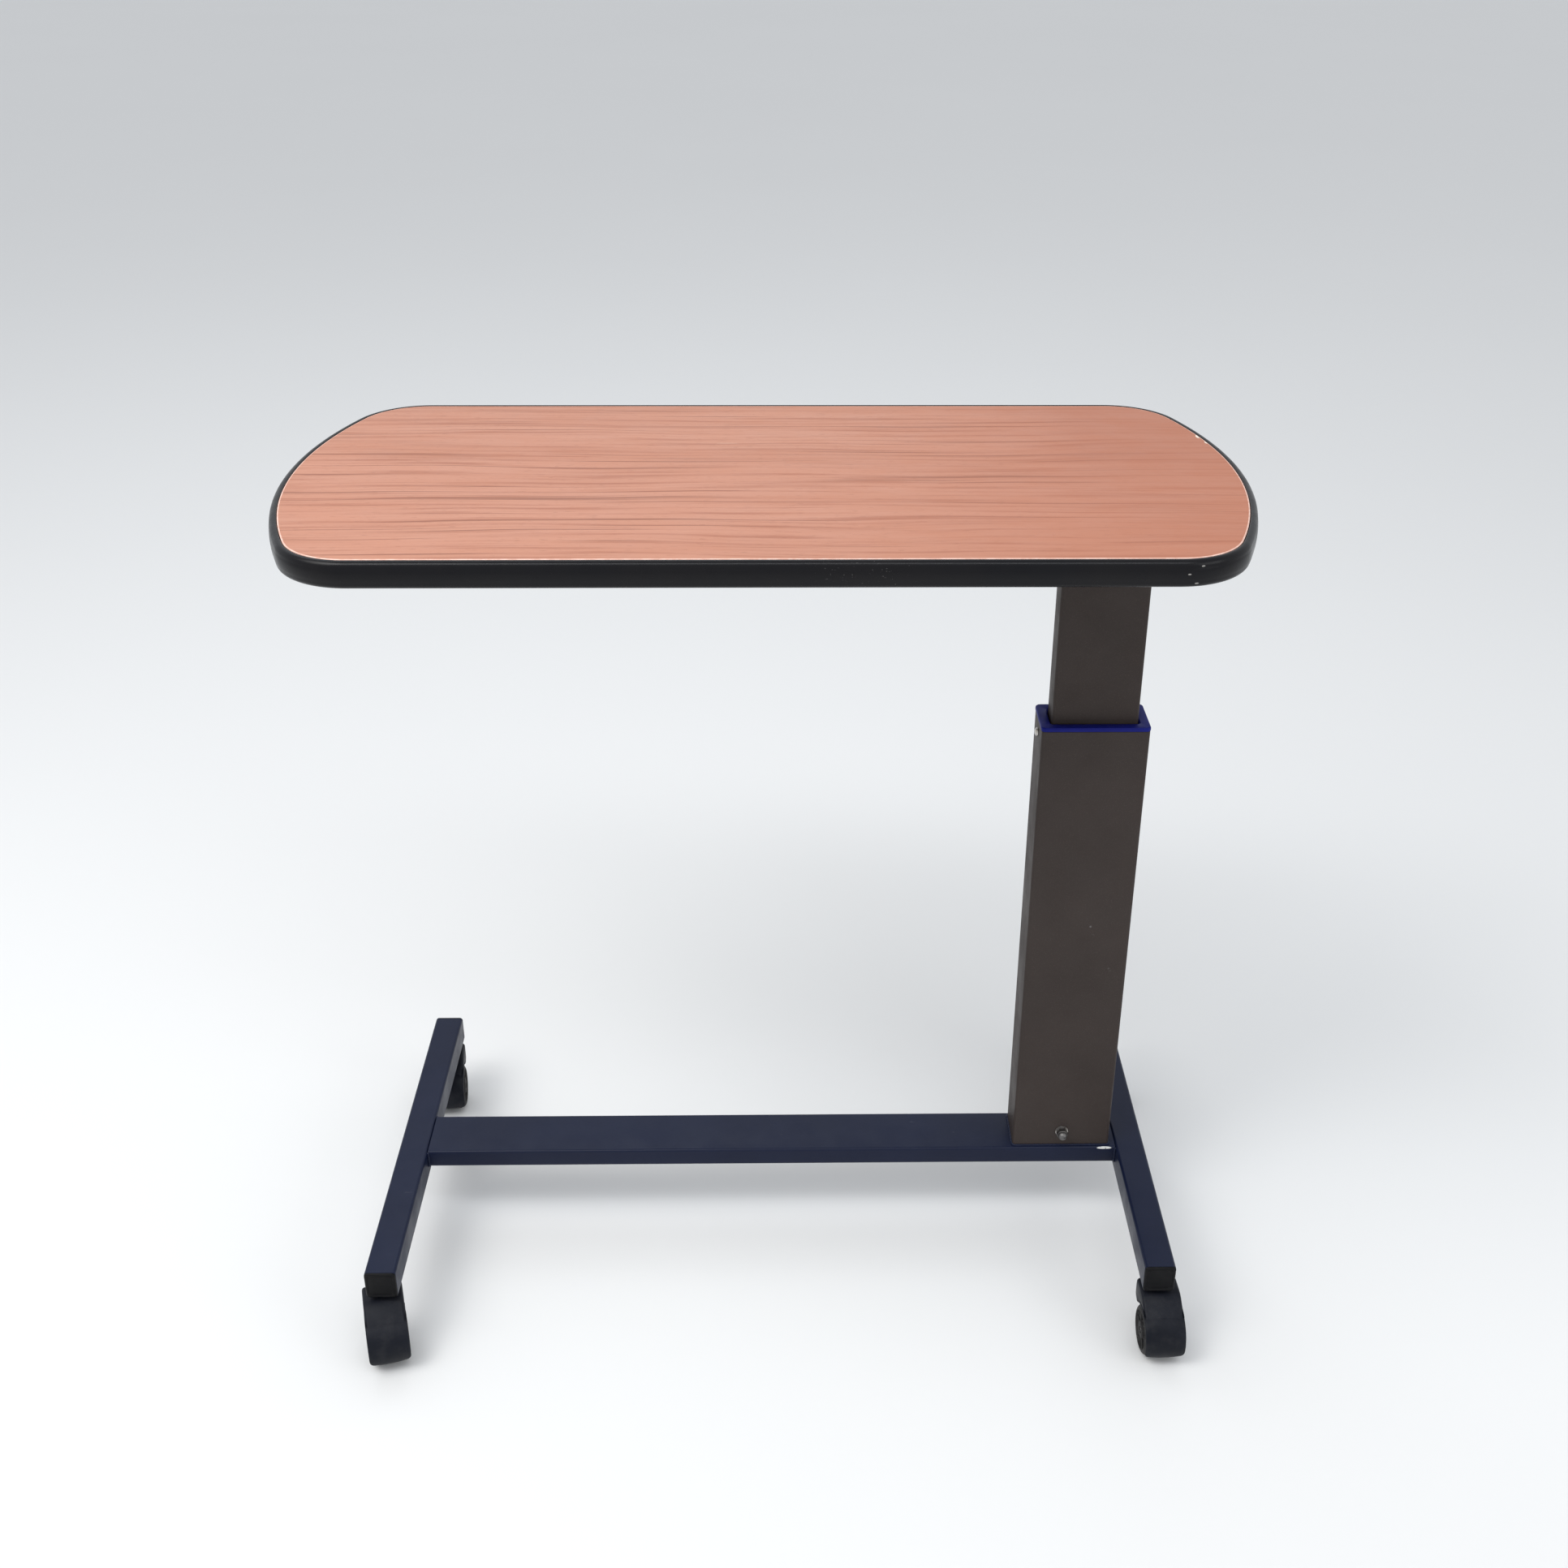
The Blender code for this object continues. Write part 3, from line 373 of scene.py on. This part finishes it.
# ---- mesh helpers ----------------------------------------------------------------------------------
def piece(name, work, materials, body, nodes=(), angle=32.0):
    """A finished mesh that rides on a body and stands for these CAD nodes."""
    bmesh.ops.recalc_face_normals(work, faces=work.faces)
    mesh = bpy.data.meshes.new(name)
    work.to_mesh(mesh)
    work.free()
    for material in materials if isinstance(materials, (list, tuple)) else (materials,):
        mesh.materials.append(material)
    mesh.shade_smooth()
    mesh.set_sharp_from_angle(angle=math.radians(angle))
    made = bpy.data.objects.new(name, mesh)
    bpy.context.scene.collection.objects.link(made)
    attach(made, body)
    if nodes:
        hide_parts(*nodes)
    return made


def loft(work, loops, ring=False, slots=None, caps=True):
    """Joins loops of equally many points; ring closes them end to end, otherwise they are capped."""
    rows = [[work.verts.new(point) for point in loop] for loop in loops]
    count = len(rows[0])
    pairs = list(zip(rows, rows[1:])) + ([(rows[-1], rows[0])] if ring else [])
    for index, (low, high) in enumerate(pairs):
        for i in range(count):
            j = (i + 1) % count
            face = work.faces.new((low[i], low[j], high[j], high[i]))
            face.material_index = slots[index] if slots else 0
    if caps and not ring:
        work.faces.new(rows[0])
        work.faces.new(rows[-1])


def turns(start, end, steps):
    return [math.radians(start + (end - start) * i / steps) for i in range(steps + 1)]


def arc(centre, radius, start, end, steps):
    along = turns(start, end, steps)
    return [(centre[0] + radius * math.cos(a), centre[1] + radius * math.sin(a)) for a in along]


def rectangle(width, depth, radius, steps=7):
    x, y = width / 2 - radius, depth / 2 - radius
    corners = ((x, y, 0), (-x, y, 90), (-x, -y, 180), (x, -y, 270))
    return [p for cx, cy, start in corners for p in arc((cx, cy), radius, start, start + 90, steps)]


def tube(work, width, depth, length, radius, wall, to_world, rim=0.0004):
    """An open rectangular tube with softened rims; to_world maps its own (u, v, along)."""
    half = length / 2
    bore_radius = max(radius - wall, 0.0006)
    outer = rectangle(width, depth, radius)
    inner = rectangle(width - 2 * wall, depth - 2 * wall, bore_radius)
    shy = rectangle(width - 2 * rim, depth - 2 * rim, radius - rim * 0.5)
    wide = rectangle(width - 2 * wall + 2 * rim * 0.6, depth - 2 * wall + 2 * rim * 0.6, bore_radius)
    outside = [(shy, -half), (outer, -half + rim), (outer, half - rim), (shy, half)]
    inside = [(wide, half), (inner, half - rim), (inner, -half + rim), (wide, -half)]
    loft(work, [[to_world(u, v, w) for u, v in loop] for loop, w in outside + inside], ring=True)


def revolve(work, profile, to_world, steps=64, ring=True):
    """A profile of (radius, height) turned round, in a local frame whose third axis is the turning axis."""
    loops = []
    for radius, height in profile:
        round_turn = [2 * math.pi * i / steps for i in range(steps)]
        loops.append([to_world(radius * math.cos(a), radius * math.sin(a), height) for a in round_turn])
    loft(work, loops, ring=ring)


def slab(work, outline, half, to_world, bevel=0.0, segments=3):
    """An outline in the first two axes, carried half to each side along the third, rims rounded."""
    loops = []
    span_list = [(-half, 0.0), (half, 0.0)]
    if bevel:
        quarter = (math.pi / 2 * i / segments for i in range(segments + 1))
        rise = [(bevel * (1 - math.cos(a)), bevel * (1 - math.sin(a))) for a in quarter]
        span_list = [(-half + w, d) for w, d in rise] + [(half - w, d) for w, d in reversed(rise)]
    for along, inset_by in span_list:
        loops.append([to_world(u, v, along) for u, v in shrink(outline, inset_by)])
    loft(work, loops)


def shrink(outline, distance):
    """The outline moved inward by a small distance along its corner bisectors."""
    if distance == 0:
        return outline
    count = len(outline)
    following = outline[1:] + outline[:1]
    area = sum(a[0] * b[1] - b[0] * a[1] for a, b in zip(outline, following))
    sign = 1 if area > 0 else -1
    moved = []
    for i in range(count):
        before, here, after = (Vector(outline[k % count]) for k in (i - 1, i, i + 1))
        a, b = (here - before).normalized(), (after - here).normalized()
        inward = Vector((-a.y - b.y, a.x + b.x)) * sign
        if inward.length < 1e-9:
            moved.append(tuple(here))
            continue
        inward.normalize()
        lean = max(0.45, abs(inward.dot(Vector((-a.y, a.x)))))
        moved.append(tuple(here + inward * (distance / lean)))
    return moved


def along_z(x, y, z):
    return lambda u, v, w: (x + u, y + v, z + w)


def along_x(x, y, z):
    return lambda u, v, w: (x + w, y + u, z + v)


def along_y(x, y, z):
    return lambda u, v, w: (x + u, y + w, z + v)


def weld_bead(work, path, radius, up):
    """A rippled bead laid along a path of points, closed if its ends meet."""
    closed = (Vector(path[0]) - Vector(path[-1])).length < 1e-6
    points = [Vector(p) for p in path[:-1]] if closed else [Vector(p) for p in path]
    fine = []
    count = len(points)
    for i in range(count if closed else count - 1):
        a, b = points[i], points[(i + 1) % count]
        steps = max(1, round((b - a).length / 0.0011))
        fine += [a.lerp(b, k / steps) for k in range(steps)]
    if not closed:
        fine.append(points[-1])
    loops = []
    total = len(fine)
    for i, here in enumerate(fine):
        after = fine[(i + 1) % total] if closed or i < total - 1 else here
        before = fine[i - 1] if closed or i > 0 else here
        run = (after - before).normalized()
        side = run.cross(up).normalized()
        swell = radius * (1.0 + 0.16 * math.sin(i * 1.55) + 0.07 * math.sin(i * 0.37))
        loops.append([tuple(here + side * swell * math.cos(a) + up * swell * 0.8 * math.sin(a))
                      for a in (2 * math.pi * k / 8 for k in range(8))])
    loft(work, loops, ring=closed)


# ---- tabletop --------------------------------------------------------------------------------------
def top_outline(inset=0.0):
    """The laminate's outline, moved in by inset: straight sides, shallow ends, tangent corners."""
    half_length, half_depth, end_radius, corner = 0.4075, 0.1975, 0.432, 0.060
    end_x = half_length - end_radius
    corner_y = half_depth - corner
    corner_x = end_x + math.sqrt((end_radius - corner) ** 2 - corner_y**2)
    meet = math.degrees(math.atan2(corner_y, corner_x - end_x))
    end = arc((end_x, 0.0), end_radius - inset, -meet, meet, 40)
    turn = arc((corner_x, corner_y), corner - inset, meet, 90, 22)[1:]
    right = [(x, -y) for x, y in reversed(turn)] + end + turn
    return [(x, y + TABLE_Y) for x, y in right + [(-x, -y) for x, y in right]]


def build_top():
    """The laminate with its pale cut edge, and the edging as one band swept round it."""
    low_z = span("top_laminate")[0].z
    rows = ((0.0, low_z), (0.0, TOP_Z - 0.0004), (0.0007, TOP_Z), (0.0011, TOP_Z))
    work = bmesh.new()
    loft(work, [[(x, y, z) for x, y in top_outline(inset)] for inset, z in rows], slots=[1, 1, 1])
    piece("worktop_laminate", work, (WOOD, LAMINATE_EDGE), "top", ["top_laminate"], 25)
    band_low, band_high = span("edge_bumper")
    low, high = band_low.z, band_high.z
    middle, half = (low + high) / 2, (high - low) / 2
    nose = [(0.0003, -half + 0.0010), (0.0012, -half + 0.0001)]
    for a in turns(0, 90, 7):
        nose.append((0.0022 + 0.0046 * math.sin(a), -half + 0.0050 - 0.0050 * math.cos(a)))
    nose += [(0.0068 + 0.0007 * math.cos(a), (half - 0.0060) * math.sin(a)) for a in turns(-66, 66, 9)]
    nose += [(0.0022 + 0.0046 * math.cos(a), half - 0.0050 + 0.0050 * math.sin(a)) for a in turns(0, 90, 8)]
    nose += [(0.0010, half - 0.0001), (0.0003, half - 0.0009)]
    work = bmesh.new()
    loft(work, [[(x, y, middle + v) for x, y in top_outline(-u)] for u, v in nose], ring=True)
    piece("edging_band", work, EDGING, "top", ["edge_bumper"], 50)


# ---- frame tubes -----------------------------------------------------------------------------------
def build_tube(name, node, run, radius, material, body, wall=0.0015):
    low, high = span(node)
    middle, size = (low + high) / 2, high - low
    axes = {
        "x": (size.y, size.z, size.x, along_x),
        "y": (size.x, size.z, size.y, along_y),
        "z": (size.x, size.y, size.z, along_z),
    }
    width, depth, length, mapper = axes[run]
    work = bmesh.new()
    tube(work, width, depth, length, radius, wall, mapper(*middle))
    return piece(name, work, material, body, [node])


def build_frame():
    """The column, crossbar, feet and rails as softened tubes, with weld beads where they meet."""
    build_tube("column_outer_tube", "outer_column", "z", 0.0030, COLUMN_PAINT_GROUND_TINT, "base")
    build_tube("column_inner_tube", "inner_column", "z", 0.0030, COLUMN_PAINT_GROUND_TINT, "top")
    build_tube("base_crossbar", "crossbar", "x", 0.0028, BASE_PAINT_SKY_TINT, "base")
    for side in ("left", "right"):
        build_tube(f"{side}_foot", f"{side}_foot_tube", "y", 0.0030, BASE_PAINT_SKY_TINT, "base")
        rail = ("front" if side == "left" else "rear") + "_support_rail"
        build_tube(rail + "_tube", rail, "x", 0.0022, BASE_PAINT_SKY_TINT, "top")
    low, high = span("outer_column")
    bead = 0.0013
    corners = rectangle(high.x - low.x + 0.0006, high.y - low.y + 0.0006, 0.0033, 4)
    middle_x, base_z = (low.x + high.x) / 2, span("crossbar")[1].z + 0.0006
    path = [(middle_x + x, TABLE_Y + y, base_z) for x, y in corners]
    work = bmesh.new()
    weld_bead(work, path + path[:1], bead, Vector((0, 0, 1)))
    piece("column_weld", work, BASE_PAINT_SKY_TINT, "base", angle=60)
    bar_low, bar_high = span("crossbar")
    for side, x, out in (("left", bar_low.x, -1), ("right", bar_high.x, 1)):
        work = bmesh.new()
        half_width, flat_half, flat_height = 0.0290, 0.0265, 0.0085
        middle_z = (bar_low.z + bar_high.z) / 2
        section = [(-half_width, middle_z + flat_height), (-half_width, middle_z - flat_height)]
        section += [(-flat_half, bar_low.z), (flat_half, bar_low.z)]
        section += [(half_width, middle_z - flat_height), (half_width, middle_z + flat_height)]
        path = [(x - out * 0.0004, TABLE_Y + y, z) for y, z in section]
        weld_bead(work, path, 0.0015, Vector((1, 0, 0)))
        piece(f"{side}_foot_weld", work, BASE_PAINT_SKY_TINT, "base", angle=60)


def build_guide():
    """The blue guide: a rounded lip on the rim, a flared mouth, a long sleeve below."""
    tube_low, tube_high = span("outer_column")
    low, high = span("guide_sleeve")
    inner_low, inner_high = span("inner_column")
    width, depth = inner_high.x - inner_low.x + 0.0008, inner_high.y - inner_low.y + 0.0008
    middle = ((low.x + high.x) / 2, TABLE_Y)
    full, deep = high.x - low.x, high.y - low.y
    body_w, body_d = tube_high.x - tube_low.x - 0.0036, tube_high.y - tube_low.y - 0.0036
    lip_z = tube_high.z + 0.0003
    rows = [
        (body_w - 0.002, body_d - 0.002, 0.0020, low.z),
        (body_w, body_d, 0.0024, low.z + 0.001),
        (body_w, body_d, 0.0024, lip_z),
        (full - 0.0006, deep - 0.0006, 0.0038, lip_z),
        (full, deep, 0.0042, lip_z + 0.0005),
        (full, deep, 0.0042, high.z - 0.0012),
        (full - 0.0004, deep - 0.0004, 0.0042, high.z - 0.0006),
        (full - 0.0012, deep - 0.0012, 0.0042, high.z - 0.0001),
        (full - 0.0024, deep - 0.0024, 0.0042, high.z),
        (width + 0.0036, depth + 0.0036, 0.0038, high.z - 0.0001),
        (width + 0.0026, depth + 0.0026, 0.0036, high.z - 0.0005),
        (width + 0.0004, depth + 0.0004, 0.0032, high.z - 0.0026),
        (width, depth, 0.0030, high.z - 0.0036),
        (width, depth, 0.0030, low.z),
    ]
    loops = [[(middle[0] + x, middle[1] + y, z) for x, y in rectangle(w, d, r)] for w, d, r, z in rows]
    work = bmesh.new()
    loft(work, loops, ring=True)
    piece("column_guide", work, BLUE, "base", ["guide_sleeve"], 38)


def build_end_caps():
    """Push-in plugs, their faces slightly domed inside a rounded rim."""
    for place in CASTER_TURNS:
        low, high = span(f"{place}_end_cap")
        front = place.startswith("front")
        face, back = (low.y, high.y) if front else (high.y, low.y)
        sign = -1 if front else 1
        x, z = (low.x + high.x) / 2, (low.z + high.z) / 2
        width, height = high.x - low.x, high.z - low.z
        rows = [
            (width - 0.0050, height - 0.0050, 0.0012, back),
            (width - 0.0040, height - 0.0040, 0.0015, back + sign * 0.0008),
            (width - 0.0040, height - 0.0040, 0.0015, face - sign * 0.0020),
            (width - 0.0006, height - 0.0006, 0.0029, face - sign * 0.0020),
            (width, height, 0.0032, face - sign * 0.0015),
            (width - 0.0002, height - 0.0002, 0.0033, face - sign * 0.0009),
            (width - 0.0010, height - 0.0010, 0.0034, face - sign * 0.0003),
            (width - 0.0022, height - 0.0022, 0.0034, face),
            (width - 0.0050, height - 0.0050, 0.0030, face),
            (width - 0.0064, height - 0.0064, 0.0028, face - sign * 0.0005),
            (width - 0.0100, height - 0.0100, 0.0024, face - sign * 0.0003),
        ]
        work = bmesh.new()
        to_world = along_y(x, 0.0, z)
        loft(work, [[to_world(u, v, y) for u, v in rectangle(w, h, r, 5)] for w, h, r, y in rows])
        piece(f"{place}_foot_plug", work, CAP_PLASTIC, "base", [f"{place}_end_cap"], 35)


# ---- casters ---------------------------------------------------------------------------------------
def build_hood(place, to_side):
    """The hood: a crowned band round both wheels, a saddle under the stem and a web between."""
    inner, outer, half = HOOD_INNER, HOOD_OUTER, HOOD_HALF
    lip = math.radians(LIP_TURN)
    work = bmesh.new()
    loops = []
    for angle in turns(LIP_TURN, 132, 44):
        taper = min(1.0, 0.25 + 6.0 * (angle - lip))
        shell = inner + (outer - inner) * (0.72 + 0.28 * taper)
        short = 1 - min(1.0, (angle - lip) / math.radians(17))
        edge = half - 0.0065 * (1 - math.sqrt(1 - short**2))
        section = [(inner, -edge + 0.0003), (inner, edge - 0.0003), (inner + 0.0003, edge)]
        for a in turns(0, 90, 5):
            section.append((shell - 0.0013 + 0.0013 * math.sin(a), edge - 0.0013 + 0.0013 * math.cos(a)))
        for share in (0.72, 0.46, 0.2, -0.2, -0.46, -0.72):
            section.append((shell + 0.0006 * (1 - share**2), share * edge))
        for a in turns(90, 0, 5):
            section.append((shell - 0.0013 + 0.0013 * math.sin(a), -edge + 0.0013 - 0.0013 * math.cos(a)))
        section += [(inner + 0.0003, -edge)]
        c, s = math.cos(angle), math.sin(angle)
        loops.append([to_side(TRAIL + r * c, WHEEL_Z + r * s, w) for r, w in section])
    loft(work, loops)
    centre = (TRAIL, WHEEL_Z)
    saddle = [(0.0336, 0.0488), (0.0300, 0.0517), (0.0260, 0.0546), (0.0218, 0.0573)]
    saddle += [
        (0.0180, 0.0596),
        (0.0140, 0.0616),
        (0.0100, 0.0627),
        (0.0060, 0.0630),
        (-0.0085, 0.0630),
        (-0.0108, 0.0622),
        (-0.0122, 0.0602),
    ]
    saddle += [(-0.0126, 0.0560), (-0.0124, 0.0500), (-0.0118, 0.0450), (-0.0100, 0.0415)]
    saddle += arc(centre, inner + 0.0002, 150, 60, 18)
    slab(work, saddle, SADDLE_HALF, to_side, 0.0030, 5)
    web = arc(centre, inner + 0.0008, -24, 140, 30) + [(-0.006, 0.034), (0.008, 0.015), (0.020, 0.012)]
    slab(work, web, 0.0022, to_side, 0.0004, 2)
    piece(f"{place}_hood", work, HOOD_PLASTIC, f"{place}_swivel", [f"{place}_caster_hood"], 40)


def build_wheel(place, which, sign, to_side):
    """One wheel: rounded tread with a fine seam, a dished web with ribs, and a hub cap."""
    inner_face, face, bore = 0.0028, HOOD_HALF, 0.0033
    profile = [(bore, inner_face), (0.0225, inner_face)]
    profile += [(0.0240, inner_face + 0.0004), (0.0248, inner_face + 0.0014)]
    profile += [(WHEEL_RADIUS, inner_face + 0.0030), (WHEEL_RADIUS, face - 0.0080)]
    for a in turns(8, 84, 8):
        profile.append((WHEEL_RADIUS - 0.0056 * (1 - math.cos(a)), face - 0.0078 + 0.0076 * math.sin(a)))
    profile += [(0.0196, face - 0.0001), (0.0188, face - 0.0005)]
    profile += [(0.0183, face - 0.0022), (0.0178, face - 0.0027)]
    profile += [(0.0094, face - 0.0030), (0.0088, face - 0.0026)]
    profile += [(0.0084, face - 0.0010), (0.0078, face - 0.0004)]
    profile += [(0.0060, face - 0.0001), (bore + 0.0003, face - 0.0002), (bore, face - 0.0006)]
    work = bmesh.new()
    revolve(work, profile, lambda u, v, w: to_side(TRAIL + u, WHEEL_Z + v, sign * w), 72)
    rib, rib_middle = rectangle(0.0094, 0.0016, 0.0005, 3), 0.0136
    for spoke in range(6):
        a = 2 * math.pi * spoke / 6
        c, s = math.cos(a), math.sin(a)

        def to_rib(u, v, w):
            reach = rib_middle + u
            return to_side(
                TRAIL + reach * c - v * s,
                WHEEL_Z + reach * s + v * c,
                sign * (face - 0.0024 + w),
            )

        slab(work, rib, 0.0009, to_rib, 0.0003, 2)
    node = f"{place}_{which}_wheel"
    piece(f"{place}_{which}_roller", work, WHEEL_PLASTIC, node, [node], 40)


def caster_side(x, y, angle):
    """Maps a caster's side view (ahead, up, across) to the world, for a stem at x, y."""
    turn = Matrix.Translation((x, y, 0)) @ Matrix.Rotation(math.radians(angle), 4, "Z")
    return lambda u, v, w: tuple(turn @ Vector((u, w, v)))


def build_casters():
    for place, angle in CASTER_TURNS.items():
        low, high = span(f"{place}_stem_nut")
        to_side = caster_side((low.x + high.x) / 2, (low.y + high.y) / 2, angle)
        build_hood(place, to_side)
        for which, sign in (("left", -1), ("right", 1)):
            build_wheel(place, which, sign, to_side)


# ---- small pieces ----------------------------------------------------------------------------------
def build_domed_nut():
    """A hexagon with chamfered corners that turns round into a dome at the front."""
    low, high = span("pivot_domed_nut")
    x, z = (low.x + high.x) / 2, (low.z + high.z) / 2
    back, flat = high.y, high.y - 0.0060
    radius, dome_height = 0.0060, 0.0052
    six = [Vector((radius * math.cos(a), radius * math.sin(a))) for a in turns(0, 300, 5)]
    hexagon = []
    for i in range(6):
        a, b = six[i], six[(i + 1) % 6]
        hexagon += [tuple(a.lerp(b, k / 6)) for k in range(6)]

    def ring(share, size):
        return [(Vector(p).lerp(Vector(p).normalized() * 0.00505, share) * size) for p in hexagon]

    rows = [(1.0, 0.98, back), (0.25, 1.0, back - 0.0004), (0.0, 1.0, back - 0.0009)]
    rows += [(0.0, 1.0, flat + 0.0009), (0.25, 1.0, flat + 0.0003), (1.0, 0.97, flat)]
    rows += [(1.0, 0.96 * math.cos(a), flat - dome_height * math.sin(a)) for a in turns(6, 84, 8)]
    work = bmesh.new()
    loft(work, [[(x + p.x, y, z + p.y) for p in ring(share, size)] for share, size, y in rows])
    piece("column_domed_nut", work, SHADED_ZINC, "base", ["pivot_domed_nut"], 35)


def build_grip():
    """The lever's grip, rounded all over, with five finger ribs along its underside."""
    low, high = span("lever_grip")
    middle, size = (low + high) / 2, high - low
    to_world = along_z(*middle)
    work = bmesh.new()
    slab(work, rectangle(size.x, size.y, 0.0072, 8), size.z / 2, to_world, 0.0024, 5)
    for i in range(-2, 3):
        rib = rectangle(0.0018, size.y - 0.018, 0.0008, 4)
        slab(work, rib, 0.0006, along_z(middle.x + 0.0048 * i, middle.y, low.z + 0.0002), 0.0003, 2)
    piece("release_grip", work, CAP_PLASTIC, "lever", ["lever_grip"], 40)


def smoother():
    """Joins the facets of a CAD node and shades them smooth across shallow edges."""
    tree = bpy.data.node_groups.new("smooth_facets", "GeometryNodeTree")
    tree.interface.new_socket("Geometry", in_out="INPUT", socket_type="NodeSocketGeometry")
    tree.interface.new_socket("Geometry", in_out="OUTPUT", socket_type="NodeSocketGeometry")
    start, end = tree.nodes.new("NodeGroupInput"), tree.nodes.new("NodeGroupOutput")
    drop = tree.nodes.new("GeometryNodeRemoveAttribute")
    drop.inputs["Name"].default_value = "custom_normal"
    merge = tree.nodes.new("GeometryNodeMergeByDistance")
    merge.inputs["Distance"].default_value = 0.00001
    faces = tree.nodes.new("GeometryNodeSetShadeSmooth")
    edges = tree.nodes.new("GeometryNodeSetShadeSmooth")
    edges.domain = "EDGE"
    edges.inputs["Shade Smooth"].default_value = False
    bend = tree.nodes.new("GeometryNodeInputMeshEdgeAngle")
    sharp = tree.nodes.new("FunctionNodeCompare")
    sharp.inputs["B"].default_value = math.radians(34)
    links = tree.links
    links.new(start.outputs[0], drop.inputs["Geometry"])
    links.new(drop.outputs[0], merge.inputs["Geometry"])
    links.new(merge.outputs[0], faces.inputs["Geometry"])
    links.new(faces.outputs[0], edges.inputs["Geometry"])
    links.new(bend.outputs["Unsigned Angle"], sharp.inputs["A"])
    links.new(sharp.outputs["Result"], edges.inputs["Selection"])
    links.new(edges.outputs[0], end.inputs[0])
    return tree


def finish_kept_nodes():
    """The CAD nodes that stay get their materials, and smooth shading over their facets."""
    kinds = {
        "tabletop_board": BOARD,
        "bottom_laminate": BACKING,
        "head_plate": BASE_PAINT_SKY_TINT,
        "lower_glide": PLAIN_PLASTIC,
        "gas_spring_cylinder": PLAIN_PLASTIC,
        "gas_spring_rod": ROD,
    }
    tree = smoother()
    for name, node in NODES.items():
        if node.hide_render:
            continue
        # Painted shade: the stems take the darkened zinc for the shadow between foot and hood.
        material = SHADED_ZINC if name.endswith("_stem") else kinds.get(name, ZINC)
        node.data.materials.clear()
        node.data.materials.append(material)
        modifier = node.modifiers.new("smooth_facets", "NODES")
        modifier.node_group = tree


# ---- studio ----------------------------------------------------------------------------------------
FLOOR_HALF, FLOOR_GAP = 14.0, 0.0004


def area_light(name, location, target, size, power, colour=(1, 1, 1)):
    data = bpy.data.lights.new(name, "AREA")
    data.shape, data.size, data.size_y = "RECTANGLE", size[0], size[1]
    data.energy, data.color = power, colour
    lamp = bpy.data.objects.new(name, data)
    lamp.location = location
    lamp.rotation_euler = (Vector(target) - Vector(location)).to_track_quat("-Z", "Y").to_euler()
    bpy.context.scene.collection.objects.link(lamp)


def build_studio():
    """A pale floor under an even sky, with a key light, two soft helpers and a strip for the edging."""
    work = bmesh.new()
    bmesh.ops.create_grid(work, x_segments=1, y_segments=1, size=FLOOR_HALF)
    mesh = bpy.data.meshes.new("studio_floor")
    work.to_mesh(mesh)
    work.free()
    floor = bpy.data.objects.new("studio_floor", mesh)
    floor.location.z = -FLOOR_GAP
    f = Finish("studio_floor", 0.9)
    f.colour(f.mix(f.noise(0.7), (0.80, 0.80, 0.795), (0.82, 0.82, 0.815)))
    mesh.materials.append(f.material)
    bpy.context.scene.collection.objects.link(floor)
    world = bpy.data.worlds.new("studio_world")
    world.use_nodes = True
    background = world.node_tree.nodes["Background"]
    background.inputs["Color"].default_value = (0.93, 0.96, 1.0, 1)
    background.inputs["Strength"].default_value = 0.74
    bpy.context.scene.world = world
    area_light("key", (-1.7, -1.0, 2.9), (0, 0, 0.5), (1.8, 1.8), 40, (1.0, 0.98, 0.95))
    area_light("back", (-0.8, 2.4, 3.2), (0, 0, 0.6), (2.6, 1.0), 12, (0.90, 0.95, 1.0))
    area_light("front_strip", (-0.3, -1.3, 2.8), (0, 0, 0.8), (3.2, 0.5), 26, (0.94, 0.97, 1.0))
    area_light("fill", (2.4, -1.8, 1.6), (0, 0, 0.5), (1.6, 1.6), 12, (1.0, 1.0, 1.0))
    bpy.context.scene.view_settings.view_transform = "Standard"


CAMERA_PLACE = (0.0175, TABLE_Y - 1.4878, 1.3319)
CAMERA_YAW, CAMERA_PITCH, CAMERA_ROLL = 1.055, -28.374, 0.294
LENS_MM, LENS_SHIFT = 41.3292, (-0.021170, -0.007971)


def build_camera():
    """A camera that looks ahead and down at the table, turned by its yaw, pitch and roll."""
    yaw, pitch, roll = (math.radians(a) for a in (CAMERA_YAW, CAMERA_PITCH, CAMERA_ROLL))
    ahead = Vector((math.sin(yaw) * math.cos(pitch), math.cos(yaw) * math.cos(pitch), math.sin(pitch)))
    right = Vector((math.cos(yaw), -math.sin(yaw), 0.0))
    up = right.cross(ahead)
    right, up = right * math.cos(roll) + up * math.sin(roll), up * math.cos(roll) - right * math.sin(roll)
    data = bpy.data.cameras.new("camera")
    data.sensor_width = 36.0
    data.lens = LENS_MM
    data.shift_x, data.shift_y = LENS_SHIFT
    camera = bpy.data.objects.new("camera", data)
    camera.matrix_world = Matrix((
        (right.x, up.x, -ahead.x, CAMERA_PLACE[0]),
        (right.y, up.y, -ahead.y, CAMERA_PLACE[1]),
        (right.z, up.z, -ahead.z, CAMERA_PLACE[2]),
        (0, 0, 0, 1),
    ))
    bpy.context.scene.collection.objects.link(camera)
    bpy.context.scene.camera = camera


build_camera()
build_top()
build_frame()
build_guide()
build_end_caps()
build_casters()
build_domed_nut()
build_grip()
finish_kept_nodes()
build_studio()
